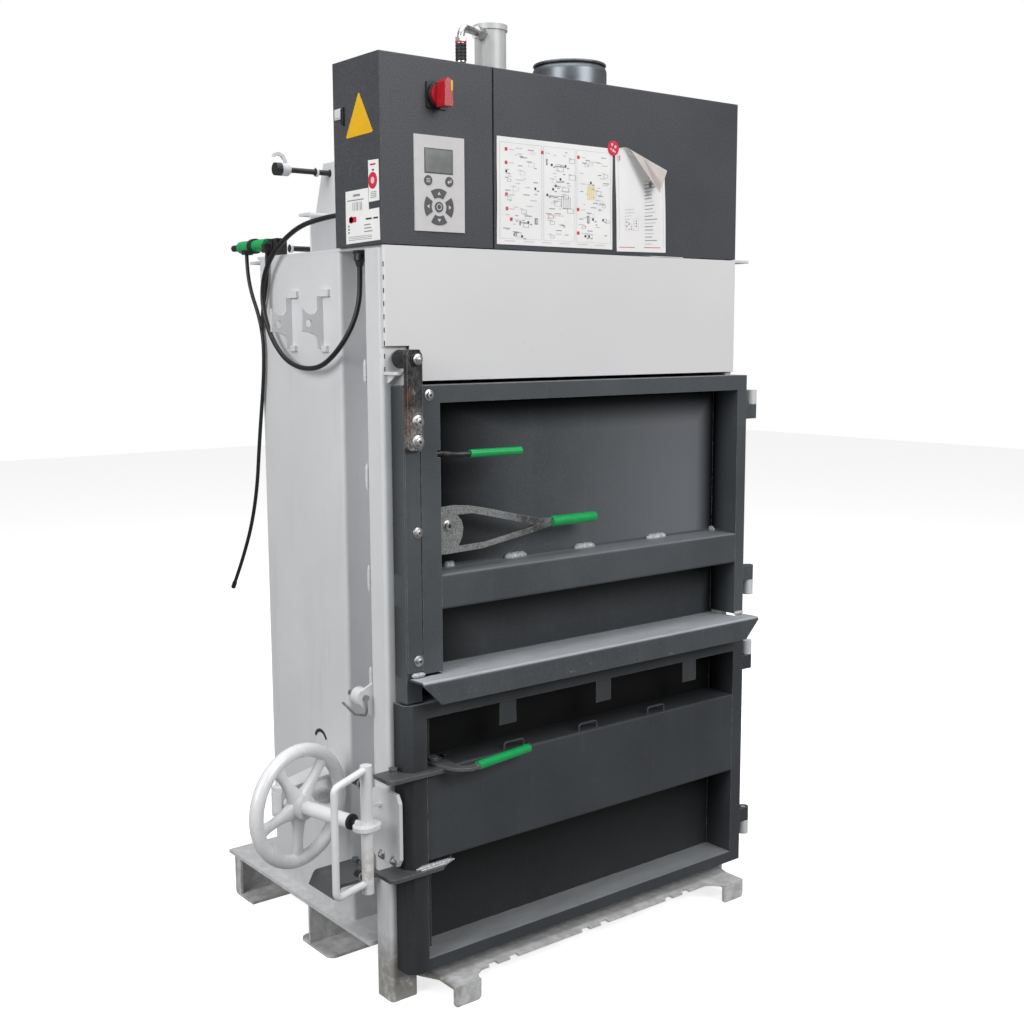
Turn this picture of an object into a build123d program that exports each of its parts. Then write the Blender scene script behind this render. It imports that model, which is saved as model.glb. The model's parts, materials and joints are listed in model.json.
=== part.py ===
from build123d import *
import math
import os

os.makedirs("parts", exist_ok=True)

# Driving dimensions in millimetres. X runs to the right, Y to the back and Z up.
# The origin lies on the floor, under the middle foot of the base.

# Chamber
chamber_width = 843
chamber_depth = 582
chamber_left = -388
chamber_front = -256
wall_sheet = 4
floor_plate_height = 6
strap_pitch = 251
strap_middle = 8.5
strap_gap = 40

# Base and posts
base_top = 110
base_sheet = 8
base_left_reach = 102
base_right_reach = 80
base_back = 385
post_outer = 475
post_width = 62
post_depth = 56
post_wall = 5
post_front = -291
hinge_post_width = 20
foot_sheet = 6
middle_foot_y = 10
middle_foot_half = 65
rear_foot_depth = 90
rear_foot_lip = 28
sill_top = 43
sill_sheet = 5
sill_front = -352
sill_lip_front = -386
sill_lip_width = 65
notch_width = 22
notch_depth = 12
notch_spacing = 54

# Side beams and top
side_beam_depth = 72
side_beam_front = -130
side_beam_width = 330
rear_beam_width = 120
rear_beam_depth = 50
rear_beam_spacing = 504
beam_sheet = 4
frame_top = 1470
top_sheet = 6
channel_height = 90
channel_width = 50
channel_spacing = 130

# Hood and front cover
hood_left = -474
hood_right = 473
hood_top = 1817
hood_front = -300
hood_depth = 163
hood_sheet = 2
control_seam = -217
cover_bottom = 1224
cover_lip = 20
roller_notch_top = 1290
roller_notch_right = -418

# Hydraulics
barrel_radius = 35
barrel_bore = 27.5
barrel_bottom = 1400
barrel_top = 1985
barrel_end = 25
flange_radius = 62
flange_height = 22
piston_rod_radius = 17.5
piston_height = 36
platen_bottom = 1245
platen_plate = 20
platen_rib = 40
platen_gap = 8
tank_left = 115
tank_width = 280
tank_front = -95
tank_depth = 250
tank_height = 110
tank_lid_sheet = 6
tank_lid_reach = 6
motor_x = 262
motor_y = 32
motor_radius = 66
motor_height = 173
motor_fins = 24
fin_height = 8
fin_thickness = 3.5
cowl_radius = 86
cowl_height = 70
cowl_sheet = 3
fitting_drop = 23
fitting_reach = 60
hose_radius = 8
hose_route = [
    (-77.5, -6.5, 1888),
    (-77.5, -6.5, 1840),
    (-75, 14, 1772),
    (-52, 52, 1716),
    (-18, 82, 1670),
    (22, 100, 1634),
    (64, 106, 1622),
    (103, 106, 1622),
]

# Doors
door_front = -337
door_depth = 45
door_sheet = 3
panel_front = -262
panel_sheet = 4
upper_left = -456
upper_right = 477
upper_bottom = 668
upper_top = 1217
opening_left = -376
opening_right = 448
opening_top = 1184
strip_right = -423
strip_sheet = 6
rail_bottom = 788
rail_top = 856
lip_front = -383
lip_crease = 665
lip_edge = 617
lip_back = 661
lip_sheet = 4
lip_left = -452
lip_right = 481
apron_bottom = 614
tab_places = (-215, 45, 306)
tab_width = 42
loop_places = (-194, 7, 208)
loop_width = 50
loop_height = 13
lower_left = -462
lower_right = 483
lower_bottom = 68
lower_top = 610
lower_opening_left = -416
lower_opening_right = 448
lower_opening_bottom = 93
lower_opening_top = 580
wide_rail_bottom = 292
wide_rail_top = 477
latch_sheet = 8
lower_latch_bottom = 275
latch_left = -511
latch_front = -353

# Hinges
hinge_x = 512
hinge_y = -320
hinge_pin_radius = 7
hinge_boss = 12
running_play = 0.06
knuckle_gap = 0.6
upper_hinges = [(1117, 1150, 1182), (705, 740, 774)]
lower_hinges = [(528, 561, 594), (120, 153, 186)]

# Lock on the left side
lock_angle = 14
bar_x = -550
bar_y = -330
bar_radius = 11.5
bar_bottom = 264
bar_top = 514
spindle_z = 395
wheel_distance = 184
rim_centre = 110
rim_radius = 14
trunnion_distance = 234
sleeve_radius = 14
sleeve_reach = 142
spindle_radius = 7
hand_bar_radius = 7
shaft_radius = 10
first_spoke = 50
ear_gap = 22
trunnion_radius = 20
trunnion_flat = 15
trunnion_pin = 7

# Cords
cable_radius = 5
gland_radius = 11
cable_route = [
    (-450, -182, 1440),
    (-450, -182, 1408),
    (-454, -184, 1374),
    (-463, -180, 1338),
    (-475, -166, 1303),
    (-484, -138, 1273),
    (-486, -98, 1252),
    (-486, -52, 1244),
    (-485, 8, 1247),
    (-485, 66, 1266),
    (-485, 120, 1312),
    (-485, 149, 1372),
    (-485, 143, 1428),
    (-485, 104, 1474),
    (-484, 44, 1506),
    (-480, -18, 1528),
    (-464, -66, 1537),
    (-457, -98, 1540),
    (-457, -119, 1540),
]
lead_radius = 4
lead_x = -471.5
lead_route = [
    (lead_x, 239, 1482),
    (lead_x, 239, 1450),
    (lead_x, 224, 1402),
    (lead_x, 192, 1354),
    (lead_x, 174, 1301),
    (lead_x, 176, 1240),
    (lead_x, 187, 1176),
    (lead_x, 200, 1116),
    (lead_x, 211, 1056),
    (lead_x, 221, 996),
    (lead_x, 238, 938),
    (lead_x, 262, 882),
    (lead_x, 297, 824),
    (lead_x, 322, 787),
    (lead_x, 346, 754),
]
branch_route = [
    (lead_x, 148, 1482),
    (lead_x, 148, 1448),
    (lead_x, 156, 1408),
    (lead_x, 174, 1368),
    (lead_x, 180, 1322),
]
tip_radius = 5
tip_length = 16

# Small parts on the frame
hook_plate_places = (-61, 65)
hook_foot = 1285
hook_sheet = 6
plunger_x = -493
plunger_z = 614
plunger_front = -246
boss_radius = 17.5
boss_depth = 24
rear_bar_x = -452
rear_bar_z = 1501
rear_bar_radius = 7
rear_grip_radius = 13
rear_grip_start = 178
rear_grip_end = 300
axle_y = 302
axle_left = -333
axle_heights = (1676, 1504)
axle_radius = 6


def block(x0, x1, y0, y1, z0, z1):
    """Rectangular solid between two opposite corners."""
    size = Box(abs(x1 - x0), abs(y1 - y0), abs(z1 - z0))
    return Pos((x0 + x1) / 2, (y0 + y1) / 2, (z0 + z1) / 2) * size


def rod(start, end, radius):
    """Round bar from one point to another."""
    first = Vector(*start)
    axis = Vector(*end) - first
    return Part() + Solid.make_cylinder(radius, axis.length, Plane(origin=first, z_dir=axis))


def shifted(points, distance):
    """Path moved sideways to its left, with mitred corners."""
    moved = []
    last = len(points) - 1
    for index, here in enumerate(points):
        before = here - points[index - 1] if index > 0 else points[1] - here
        after = points[index + 1] - here if index < last else before
        left_before = Vector(-before.Y, before.X).normalized()
        left_after = Vector(-after.Y, after.X).normalized()
        middle = (left_before + left_after).normalized()
        moved.append(here + middle * (distance / middle.dot(left_before)))
    return moved


def folded(path, thickness, bend=2):
    """Section of a folded sheet that lies to the left of a path."""
    near = [Vector(*point) for point in path]
    far = shifted(near, thickness)
    near_radii = []
    far_radii = []
    for index in range(1, len(near) - 1):
        turn = (near[index] - near[index - 1]).cross(near[index + 1] - near[index]).Z
        near_radii.append(bend + thickness if turn > 0 else bend)
        far_radii.append(bend if turn > 0 else bend + thickness)
    outlines = [FilletPolyline(*near, radius=near_radii), FilletPolyline(*far, radius=far_radii)]
    ends = [Line(near[0], far[0]), Line(near[-1], far[-1])]
    return make_face([edge for line in outlines for edge in line.edges()] + ends)


def sheet_along_x(path, thickness, x0, x1, bend=2):
    """Folded sheet whose section is given in Y and Z."""
    plane = Plane(origin=(x0, 0, 0), x_dir=(0, 1, 0), z_dir=(1, 0, 0))
    return extrude(plane * folded(path, thickness, bend), x1 - x0)


def sheet_along_z(path, thickness, z0, z1, bend=2):
    """Folded sheet whose section is given in X and Y."""
    return extrude(Pos(0, 0, z0) * folded(path, thickness, bend), z1 - z0)


def flat(points, z0, z1):
    """Flat plate with an outline in X and Y."""
    return extrude(Pos(0, 0, z0) * make_face(Polyline(*points, close=True)), z1 - z0)


def upright(points, y0, y1):
    """Upright plate with an outline in X and Z."""
    plane = Plane(origin=(0, y1, 0), x_dir=(1, 0, 0), z_dir=(0, -1, 0))
    return extrude(plane * make_face(Polyline(*points, close=True)), y1 - y0)


def sideways(points, x0, x1):
    """Upright plate with an outline in Y and Z."""
    plane = Plane(origin=(x0, 0, 0), x_dir=(0, 1, 0), z_dir=(1, 0, 0))
    return extrude(plane * make_face(Polyline(*points, close=True)), x1 - x0)


def screw_head(centre, size, height):
    """Hexagon head that stands out towards the front."""
    plane = Plane(origin=centre, x_dir=(1, 0, 0), z_dir=(0, -1, 0))
    return extrude(plane * RegularPolygon(size / 2, 6, major_radius=False), height)


def hex_bolt(centre, size, height):
    """Hexagon head that stands up from a plate."""
    return extrude(Pos(*centre) * RegularPolygon(size / 2, 6, major_radius=False), height)


def group(*shapes):
    """Several separate solids kept together in one node."""
    return Compound(children=[solid for shape in shapes for solid in shape.solids()])


def arc_radii(route):
    """Radius of each bend of a cord: nearly as large as its two runs allow."""
    points = [Vector(*point) for point in route]
    radii = []
    for before, here, after in zip(points, points[1:], points[2:]):
        first = here - before
        second = after - here
        half_turn = math.radians(first.get_angle(second)) / 2
        radii.append(0.45 * min(first.length, second.length) / math.tan(half_turn))
    return radii


def cord(name, route, radius):
    """Round cord along straight runs joined by arcs."""
    radii = arc_radii(route)
    line = FilletPolyline(*route, radius=radii)
    start = Vector(*route[0])
    section = Plane(origin=start, z_dir=Vector(*route[1]) - start) * Circle(radius)
    print(name, "radii", [round(value) for value in radii], "length", round(line.length))
    tube = sweep(section, path=line)
    print(name, "volume share", round(tube.volume / (line.length * math.pi * radius ** 2), 4))
    return tube


# Places that several pieces share
chamber_right = chamber_left + chamber_width
chamber_back = chamber_front + chamber_depth
cylinder_x = chamber_left + chamber_width / 2
cylinder_y = chamber_front + chamber_depth / 2
post_back = post_front + post_depth
post_inner = -post_outer + post_width
hinge_post_inner = post_outer - hinge_post_width
base_left = chamber_left - base_left_reach
base_right = chamber_right + base_right_reach
base_under = base_top - base_sheet
wall_left = chamber_left - wall_sheet
wall_right = chamber_right + wall_sheet
beam_left = wall_left - side_beam_depth
beam_right = wall_right + side_beam_depth
beam_back = side_beam_front + side_beam_width
hood_back = hood_front + hood_depth
top_plate_top = frame_top + top_sheet
door_back = door_front + door_depth
panel_back = panel_front + panel_sheet
floor_top = base_top + floor_plate_height
strap_places = [strap_middle + strap_pitch * step for step in (-1, 0, 1)]
platen_top = platen_bottom + platen_plate + platen_rib
cover_top = top_plate_top - 2
tank_low = top_plate_top + channel_height
tank_lid = tank_low + tank_height + tank_lid_sheet
cowl_low = tank_lid + motor_height
cowl_top = cowl_low + cowl_height
fitting_z = barrel_top - fitting_drop
roller_x = -438
roller_z = upper_top + 49
roller_radius = 17.5
roller_axle = 6
rod_x = -384
rod_y = -328
rod_z = 1088
rod_pin = 3
rod_radius = 5
fork_x = -346
fork_y = -312.9
fork_z = 945
fork_pin = 6
latch_pivot_x = -385
latch_pivot_y = -312
latch_pin = 6
latch_plate_top = wide_rail_top + 1
lower_latch_top = lower_latch_bottom + latch_sheet

parts = {}


# Base: a plate notched round the two posts, with two feet and the sill in front
parts["base_plate"] = flat([
    (base_left, base_back), (base_left, post_back), (post_inner, post_back),
    (post_inner, chamber_front), (hinge_post_inner, chamber_front),
    (hinge_post_inner, post_back), (base_right, post_back), (base_right, base_back),
], base_under, base_top)

foot_left = base_left + 12
foot_right = base_right - 12
foot_plan = Pos((foot_left + foot_right) / 2, middle_foot_y, 0) * RectangleRounded(
    foot_right - foot_left, middle_foot_half * 2, 18)
web_front = middle_foot_y + 18
parts["middle_foot"] = extrude(foot_plan, foot_sheet) + block(
    foot_left, foot_right, web_front, web_front + foot_sheet, foot_sheet, base_under)


def rear_foot():
    """Channel with an upright back, a flat bottom and a narrow lip at each end."""
    front = base_back - rear_foot_depth
    back = base_back - 4
    foot = sheet_along_x([(front, 0), (back, 0), (back, base_under)], foot_sheet,
                         foot_left, foot_right, 5)
    for x0 in (foot_left, foot_right - foot_sheet):
        foot += block(x0, x0 + foot_sheet, back - rear_foot_lip, back - 8, foot_sheet, base_under)
    return foot


parts["rear_foot"] = rear_foot()


def front_sill():
    """Sill plate with two lips turned down to the floor and pairs of strap notches."""
    left = post_inner + 22
    right = hinge_post_inner - 14
    inner_left = left + sill_lip_width
    inner_right = right - sill_lip_width
    hollow = sill_lip_front + 8
    plate = flat([
        (post_inner, post_back), (post_inner, post_front), (left, sill_front + 20),
        (left, sill_lip_front), (inner_left, sill_lip_front), (inner_left, hollow),
        (inner_left + 10, hollow + 16), (inner_left + 26, sill_front),
        (inner_right - 26, sill_front), (inner_right - 10, hollow + 16), (inner_right, hollow),
        (inner_right, sill_lip_front), (right, sill_lip_front), (right, sill_front + 20),
        (hinge_post_inner, post_front), (hinge_post_inner, post_back),
    ], sill_top - sill_sheet, sill_top)
    for middle in strap_places:
        for side in (-1, 1):
            centre = middle + side * notch_spacing / 2
            plate -= block(centre - notch_width / 2, centre + notch_width / 2,
                           sill_front - 1, sill_front + notch_depth, 0, sill_top + 1)
    for x0 in (left, inner_right):
        lip = block(x0, x0 + sill_lip_width, sill_lip_front, sill_lip_front + sill_sheet,
                    0, sill_top)
        plate += fillet(lip.edges().filter_by(Axis.Y).group_by(Axis.Z)[0], 10)
    return plate


parts["front_sill"] = front_sill()

# Chamber: two side walls, a rear wall and floor plates with grooves for the straps
left_wall = sheet_along_z([(post_inner, chamber_front), (chamber_left, chamber_front),
                           (chamber_left, chamber_back)], wall_sheet, base_top, frame_top)
right_wall = block(chamber_right, wall_right, chamber_front, chamber_back, base_top, frame_top)
right_wall -= block(hinge_post_inner - 1, post_outer, post_front, post_back, base_top, frame_top)
parts["side_walls"] = group(left_wall, right_wall)
parts["rear_wall"] = block(wall_left, wall_right, chamber_back, chamber_back + wall_sheet,
                           base_top, frame_top)


def floor_plates():
    """Floor plates side by side, with a strap groove between each two."""
    edges = [chamber_left]
    for middle in strap_places:
        edges += [middle - strap_gap / 2, middle + strap_gap / 2]
    edges.append(chamber_right)
    pairs = zip(edges[::2], edges[1::2])
    return group(*[block(x0, x1, chamber_front, chamber_back, base_top, floor_top)
                   for x0, x1 in pairs])


parts["floor_plates"] = floor_plates()


def hollow_post(x0, x1, radius):
    """Hollow post with rounded edges that stands on the floor."""
    centre = Pos((x0 + x1) / 2, (post_front + post_back) / 2, 0)
    outside = RectangleRounded(x1 - x0, post_depth, radius)
    inside = RectangleRounded(x1 - x0 - 2 * post_wall, post_depth - 2 * post_wall, radius / 2)
    return extrude(centre * (outside - inside), frame_top)


parts["front_posts"] = group(hollow_post(-post_outer, post_inner, 8),
                             hollow_post(hinge_post_inner, post_outer, 3))


def stiffening_beams():
    """Folded beams on the outside of the walls: one on each side and two at the back."""
    left = [(wall_left, beam_back), (beam_left, beam_back), (beam_left, side_beam_front),
            (wall_left, side_beam_front)]
    right = [(wall_right, side_beam_front), (beam_right, side_beam_front),
             (beam_right, beam_back), (wall_right, beam_back)]
    paths = [left, right]
    back = chamber_back + wall_sheet
    for side in (-1, 1):
        middle = cylinder_x + side * rear_beam_spacing / 2
        low = middle - rear_beam_width / 2
        high = middle + rear_beam_width / 2
        paths.append([(high, back), (high, back + rear_beam_depth),
                      (low, back + rear_beam_depth), (low, back)])
    return group(*[sheet_along_z(path, beam_sheet, base_top, frame_top, 4) for path in paths])


parts["stiffening_beams"] = stiffening_beams()


def top_plate():
    """Plate over the frame with the cylinder's hole and two channels beside it."""
    back = chamber_back + wall_sheet + rear_beam_depth
    behind_beams = beam_back + 5
    plate = flat([
        (beam_left, post_front + 4), (beam_right, post_front + 4), (beam_right, behind_beams),
        (wall_right, behind_beams), (wall_right, back), (wall_left, back),
        (wall_left, behind_beams), (beam_left, behind_beams),
    ], frame_top, top_plate_top)
    hole = (cylinder_x, cylinder_y)
    plate -= rod((*hole, frame_top - 1), (*hole, top_plate_top + 1), barrel_radius + 0.5)
    for side in (-1, 1):
        near = cylinder_y + side * channel_spacing / 2
        far = near + side * channel_width
        path = [(far, top_plate_top), (near, top_plate_top),
                (near, top_plate_top + channel_height), (far, top_plate_top + channel_height)]
        if side > 0:
            path.reverse()
        plate += sheet_along_x(path, foot_sheet, wall_left, wall_right, 4)
    return plate


parts["top_plate"] = top_plate()


def front_cover():
    """White cover above the door, folded back on itself along both posts."""
    path = [(hood_left + 2 + cover_lip, post_front), (hood_left + 2, post_front),
            (hood_left + 2, hood_front), (hood_right, hood_front), (hood_right, post_front),
            (hood_right - cover_lip, post_front)]
    cover = sheet_along_z(path, hood_sheet, cover_bottom, cover_top, 1)
    cover += block(post_inner + 2, hinge_post_inner - 2, hood_front + 1, post_front + 3,
                   cover_bottom, cover_bottom + hood_sheet)
    cover += block(post_inner + 2, hinge_post_inner - 2, hood_front + 1, post_front + 3,
                   cover_top - hood_sheet, cover_top)
    cover -= block(hood_left - 5, roller_notch_right, hood_front - 5, post_front + 5,
                   cover_bottom - 1, roller_notch_top)
    return cover


parts["front_cover"] = front_cover()


def roller_guide():
    """Shelf under the roller, carried by a gusset on the front of the left post."""
    top = roller_z - roller_radius - 5.5
    low = top - foot_sheet
    front = post_front - 40
    shelf = block(roller_x - 32, roller_x + 12, front, post_front, low, top)
    shelf = fillet(shelf.edges().filter_by(Axis.Z).group_by(Axis.Y)[0], 5)
    gusset = sideways([(post_front, low), (post_front, low - 16), (post_front - 12, low - 11),
                       (post_front - 27, low)], roller_x - 24, roller_x - 18)
    return shelf + gusset


parts["roller_guide"] = roller_guide()


def guard_plate():
    """Bent plate beside the lower door, with cut corners and a small gusset."""
    low = lower_latch_top + 13
    high = latch_plate_top - latch_sheet - 30
    front = door_front - 1
    plate = sideways([
        (post_back - 6, low + 10), (post_back - 6, high - 10), (post_back - 24, high),
        (front + 10, high), (front, high - 16), (front, low + 16), (front + 10, low),
        (post_back - 16, low),
    ], -post_outer - 8, -post_outer)
    lug_low = spindle_z + 9
    lug = flat([(-post_outer, post_front + 5), (-post_outer, post_front + 29),
                (-post_outer - 23, post_front + 21)], lug_low, lug_low + 6)
    return plate + lug


parts["guard_plate"] = guard_plate()


def hook_bracket(y):
    """Plate that stands out from the beam with an open hook and a hole, on two short tabs."""
    x, z = beam_left, hook_foot
    plate = upright([
        (x, z + 102), (x - 13, z + 102), (x - 13, z + 75), (x - 20, z + 67), (x - 29, z + 66),
        (x - 39, z + 71), (x - 46, z + 80), (x - 47, z + 33), (x - 30, z + 31),
        (x - 14, z + 25), (x - 13, z), (x, z),
    ], y - hook_sheet / 2, y + hook_sheet / 2)
    plate -= rod((x - 32, y - hook_sheet, z + 49), (x - 32, y + hook_sheet, z + 49), 7.5)
    upper_tab = block(x - hook_sheet, x, y - 33, y, z + 101, z + 115)
    lower_tab = block(x - hook_sheet, x, y - 23, y, z - 7, z + 5)
    return plate + upper_tab + lower_tab


parts["hook_brackets"] = group(*[hook_bracket(y) for y in hook_plate_places])


def plunger_housing():
    """Round boss for the pull pin, on a gusset beside the post."""
    boss_front = plunger_front + 8
    body = rod((plunger_x, boss_front, plunger_z), (plunger_x, boss_front + boss_depth, plunger_z),
               boss_radius)
    body = fillet(body.edges().group_by(Axis.Y)[0], 2)
    gusset = upright([
        (-post_outer, plunger_z + 26), (-post_outer, plunger_z - 38),
        (-post_outer - 7, plunger_z - 38), (plunger_x - 9, plunger_z - 14),
        (plunger_x - 9, plunger_z + 14),
    ], post_back - 6, post_back)
    bore = rod((plunger_x, plunger_front, plunger_z), (plunger_x, -190, plunger_z),
               plunger_pin_radius + running_play)
    return body + gusset - bore


def plunger_pin():
    """Pull pin with a wire loop that hangs from its head."""
    x, z = plunger_x, plunger_z
    tail = plunger_front + 60
    pin = rod((x, plunger_front, z), (x, tail, z), plunger_pin_radius)
    line = FilletPolyline((x, plunger_front + 3, z), (x, plunger_front - 2, z - 34),
                          (x, plunger_front + 44, z - 42), (x, plunger_front + 90, z - 28),
                          radius=14)
    first = Vector(x, plunger_front + 3, z)
    way = Vector(x, plunger_front - 2, z - 34) - first
    return pin + sweep(Plane(origin=first, z_dir=way) * Circle(2.5), path=line)


plunger_pin_radius = 6
parts["plunger_housing"] = plunger_housing()
parts["plunger_pin"] = plunger_pin()


# Hydraulics
def cylinder_barrel():
    """Barrel with a flange that rests on the top plate, a head at its top and a rod seal."""
    x, y = cylinder_x, cylinder_y
    body = rod((x, y, barrel_bottom), (x, y, barrel_top), barrel_radius)
    body += rod((x, y, top_plate_top), (x, y, top_plate_top + flange_height), flange_radius)
    body += rod((x, y, barrel_top - 12), (x, y, barrel_top), barrel_radius + 3)
    body -= rod((x, y, barrel_bottom + 30), (x, y, barrel_top - barrel_end), barrel_bore)
    body -= rod((x, y, barrel_bottom - 1), (x, y, barrel_bottom + 31),
                piston_rod_radius + running_play)
    return body


parts["cylinder_barrel"] = cylinder_barrel()
piston_top = barrel_top - barrel_end - 2
piston_low = piston_top - piston_height
piston_rod = rod((cylinder_x, cylinder_y, platen_top), (cylinder_x, cylinder_y, piston_low),
                 piston_rod_radius)
piston_rod += rod((cylinder_x, cylinder_y, piston_low), (cylinder_x, cylinder_y, piston_top),
                  barrel_bore - running_play)
parts["piston_rod"] = piston_rod


def platen():
    """Press plate with strap grooves below and ribs above."""
    x0 = chamber_left + platen_gap
    x1 = chamber_right - platen_gap
    y0 = chamber_front + platen_gap
    y1 = chamber_back - platen_gap
    plate = block(x0, x1, y0, y1, platen_bottom, platen_bottom + platen_plate)
    for middle in strap_places:
        plate -= block(middle - strap_gap / 2, middle + strap_gap / 2, y0 - 1, y1 + 1,
                       platen_bottom - 1, platen_bottom + 10)
    for y in (y0, cylinder_y - 60, cylinder_y + 50, y1 - 10):
        plate += block(x0, x1, y, y + 10, platen_bottom + platen_plate, platen_top)
    plate += block(cylinder_x - 60, cylinder_x + 60, cylinder_y - 50, cylinder_y + 50,
                   platen_top - 15, platen_top)
    for x in (cylinder_x - 60, cylinder_x + 50):
        plate += block(x, x + 10, cylinder_y - 50, cylinder_y + 50,
                       platen_bottom + platen_plate, platen_top - 15)
    return plate


parts["platen"] = platen()


def oil_tank():
    """Oil tank on the channels, with a lid that overhangs and the hose's socket."""
    tank_right = tank_left + tank_width
    tank_back = tank_front + tank_depth
    tank = block(tank_left, tank_right, tank_front, tank_back, tank_low, tank_low + tank_height)
    tank = fillet(tank.edges().filter_by(Axis.Z), 12)
    tank += block(tank_left - tank_lid_reach, tank_right + tank_lid_reach,
                  tank_front - tank_lid_reach, tank_back + tank_lid_reach,
                  tank_low + tank_height, tank_lid)
    end = hose_route[-1]
    return tank + rod(end, (tank_left, end[1], end[2]), socket_radius)


socket_radius = 11
parts["oil_tank"] = oil_tank()


def motor():
    """Upright motor with a foot flange, cooling fins all round and a terminal box."""
    body = rod((motor_x, motor_y, tank_lid), (motor_x, motor_y, cowl_low), motor_radius)
    body += rod((motor_x, motor_y, tank_lid), (motor_x, motor_y, tank_lid + 14),
                motor_radius + 22)
    fin = block(motor_radius - 3, motor_radius + fin_height, -fin_thickness / 2,
                fin_thickness / 2, tank_lid + 14, cowl_low - 6)
    for number in range(motor_fins):
        body += Pos(motor_x, motor_y, 0) * (Rot(0, 0, 360 / motor_fins * number) * fin)
    terminals = block(motor_x - 34, motor_x + 34, motor_y + motor_radius - 6,
                      motor_y + motor_radius + 34, tank_lid + 60, tank_lid + 130)
    return body + terminals


parts["motor"] = motor()


def fan_cowl():
    """Pressed cover with a rounded rim over the motor's fan."""
    cowl = rod((motor_x, motor_y, cowl_low), (motor_x, motor_y, cowl_top), cowl_radius)
    cowl = fillet(cowl.edges().group_by(Axis.Z)[-1], 18)
    inner_top = cowl_top - cowl_sheet
    inner = rod((motor_x, motor_y, cowl_low - 1), (motor_x, motor_y, inner_top),
                cowl_radius - cowl_sheet)
    inner = fillet(inner.edges().group_by(Axis.Z)[-1], 15)
    hub = rod((motor_x, motor_y, cowl_low), (motor_x, motor_y, inner_top), 26)
    return cowl - inner + hub


parts["fan_cowl"] = fan_cowl()


def hose_fitting():
    """Nut, bent pipe and crimped sleeve between the barrel and the hose."""
    away = Vector(-0.936, -0.352, 0)
    centre = Vector(cylinder_x, cylinder_y, fitting_z)
    end = Vector(*hose_route[0])
    corner = Vector(end.X, end.Y, fitting_z)
    sleeve_top = fitting_z - 28
    nut_plane = Plane(origin=centre + away * (barrel_radius - 2), z_dir=away)
    nut = extrude(nut_plane * RegularPolygon(12, 6, major_radius=False), 27)
    start = centre + away * fitting_reach
    line = FilletPolyline(start, corner, Vector(end.X, end.Y, sleeve_top), radius=22)
    pipe = sweep(Plane(origin=start, z_dir=away) * Circle(hose_radius), path=line)
    sleeve = rod((end.X, end.Y, sleeve_top), tuple(end), socket_radius)
    barrel = rod((cylinder_x, cylinder_y, fitting_z - 60), (cylinder_x, cylinder_y, barrel_top),
                 barrel_radius)
    barrel += rod((cylinder_x, cylinder_y, barrel_top - 12), (cylinder_x, cylinder_y, barrel_top),
                  barrel_radius + 3)
    return nut + pipe + sleeve - barrel


parts["hose_fitting"] = hose_fitting()
parts["hydraulic_hose"] = cord("hose", hose_route, hose_radius)


# Hood and controls
def machine_hood():
    """Folded hood, open at its back and underneath."""
    left = control_seam + 1
    hood = block(left, hood_right, hood_front, hood_back, top_plate_top, hood_top)
    edges = hood.edges().filter_by(Axis.Z).group_by(Axis.Y)[0]
    edges += hood.edges().filter_by(Axis.X).group_by(Axis.Z)[-1].group_by(Axis.Y)[0]
    hood = fillet(edges, 3)
    return hood - block(left + hood_sheet, hood_right - hood_sheet, hood_front + hood_sheet,
                        hood_back + 1, top_plate_top - 1, hood_top - hood_sheet)


parts["hood"] = machine_hood()


def control_box():
    """Control box with a rear panel set into its open back."""
    right = control_seam - 1
    box = block(hood_left, right, hood_front, hood_back, top_plate_top, hood_top)
    edges = box.edges().filter_by(Axis.Z).group_by(Axis.Y)[0]
    edges += box.edges().filter_by(Axis.X).group_by(Axis.Z)[-1].group_by(Axis.Y)[0]
    box = fillet(edges, 3)
    box -= block(hood_left + hood_sheet, right - hood_sheet, hood_front + hood_sheet,
                 hood_back + 1, top_plate_top + hood_sheet, hood_top - hood_sheet)
    panel = block(hood_left + hood_sheet, right - hood_sheet, hood_back - 4, hood_back - 2,
                  top_plate_top + hood_sheet, hood_top - hood_sheet)
    return box + panel


parts["control_box"] = control_box()
switch_x = -350
switch_z = 1750
parts["switch_plate"] = fillet(
    block(switch_x - 24, switch_x + 24, hood_front - 4, hood_front, switch_z - 25, switch_z + 25)
    .edges().filter_by(Axis.Y), 5)


def switch_handle():
    """Round switch handle with a raised grip across it."""
    front = hood_front - 4.3
    base = rod((switch_x, front, switch_z), (switch_x, front - 12, switch_z), 20)
    grip = upright([(-8, 20), (-3, 26), (3, 26), (8, 20), (10, -24), (-10, -24)], -26, 0)
    return base + Pos(switch_x, front - 10, switch_z) * fillet(grip.edges().filter_by(Axis.Y), 2)


parts["switch_handle"] = switch_handle()
keypad_plan = Plane(origin=(-346, hood_front, 1589.5), x_dir=(1, 0, 0), z_dir=(0, -1, 0))
parts["keypad"] = extrude(keypad_plan * RectangleRounded(114, 175, 9), 3)


# Hinges: the frame's half carries the pin, the door's half turns on it
def frame_hinge(low, seam, high, pin_below):
    """Boss with a lug to the post; the pin stands up or hangs down from it."""
    own = (low, seam) if pin_below else (seam, high)
    boss = rod((hinge_x, hinge_y, own[0]), (hinge_x, hinge_y, own[1]), hinge_boss)
    lug = flat([(post_outer, post_back - 6), (post_outer, post_front + 7),
                (post_outer + 13, post_front + 7), (hinge_x - 9, hinge_y),
                (hinge_x + 6, hinge_y + 9)], own[0], own[1])
    pin = rod((hinge_x, hinge_y, low + 2), (hinge_x, hinge_y, high - 2), hinge_pin_radius)
    return boss + lug + pin


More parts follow.
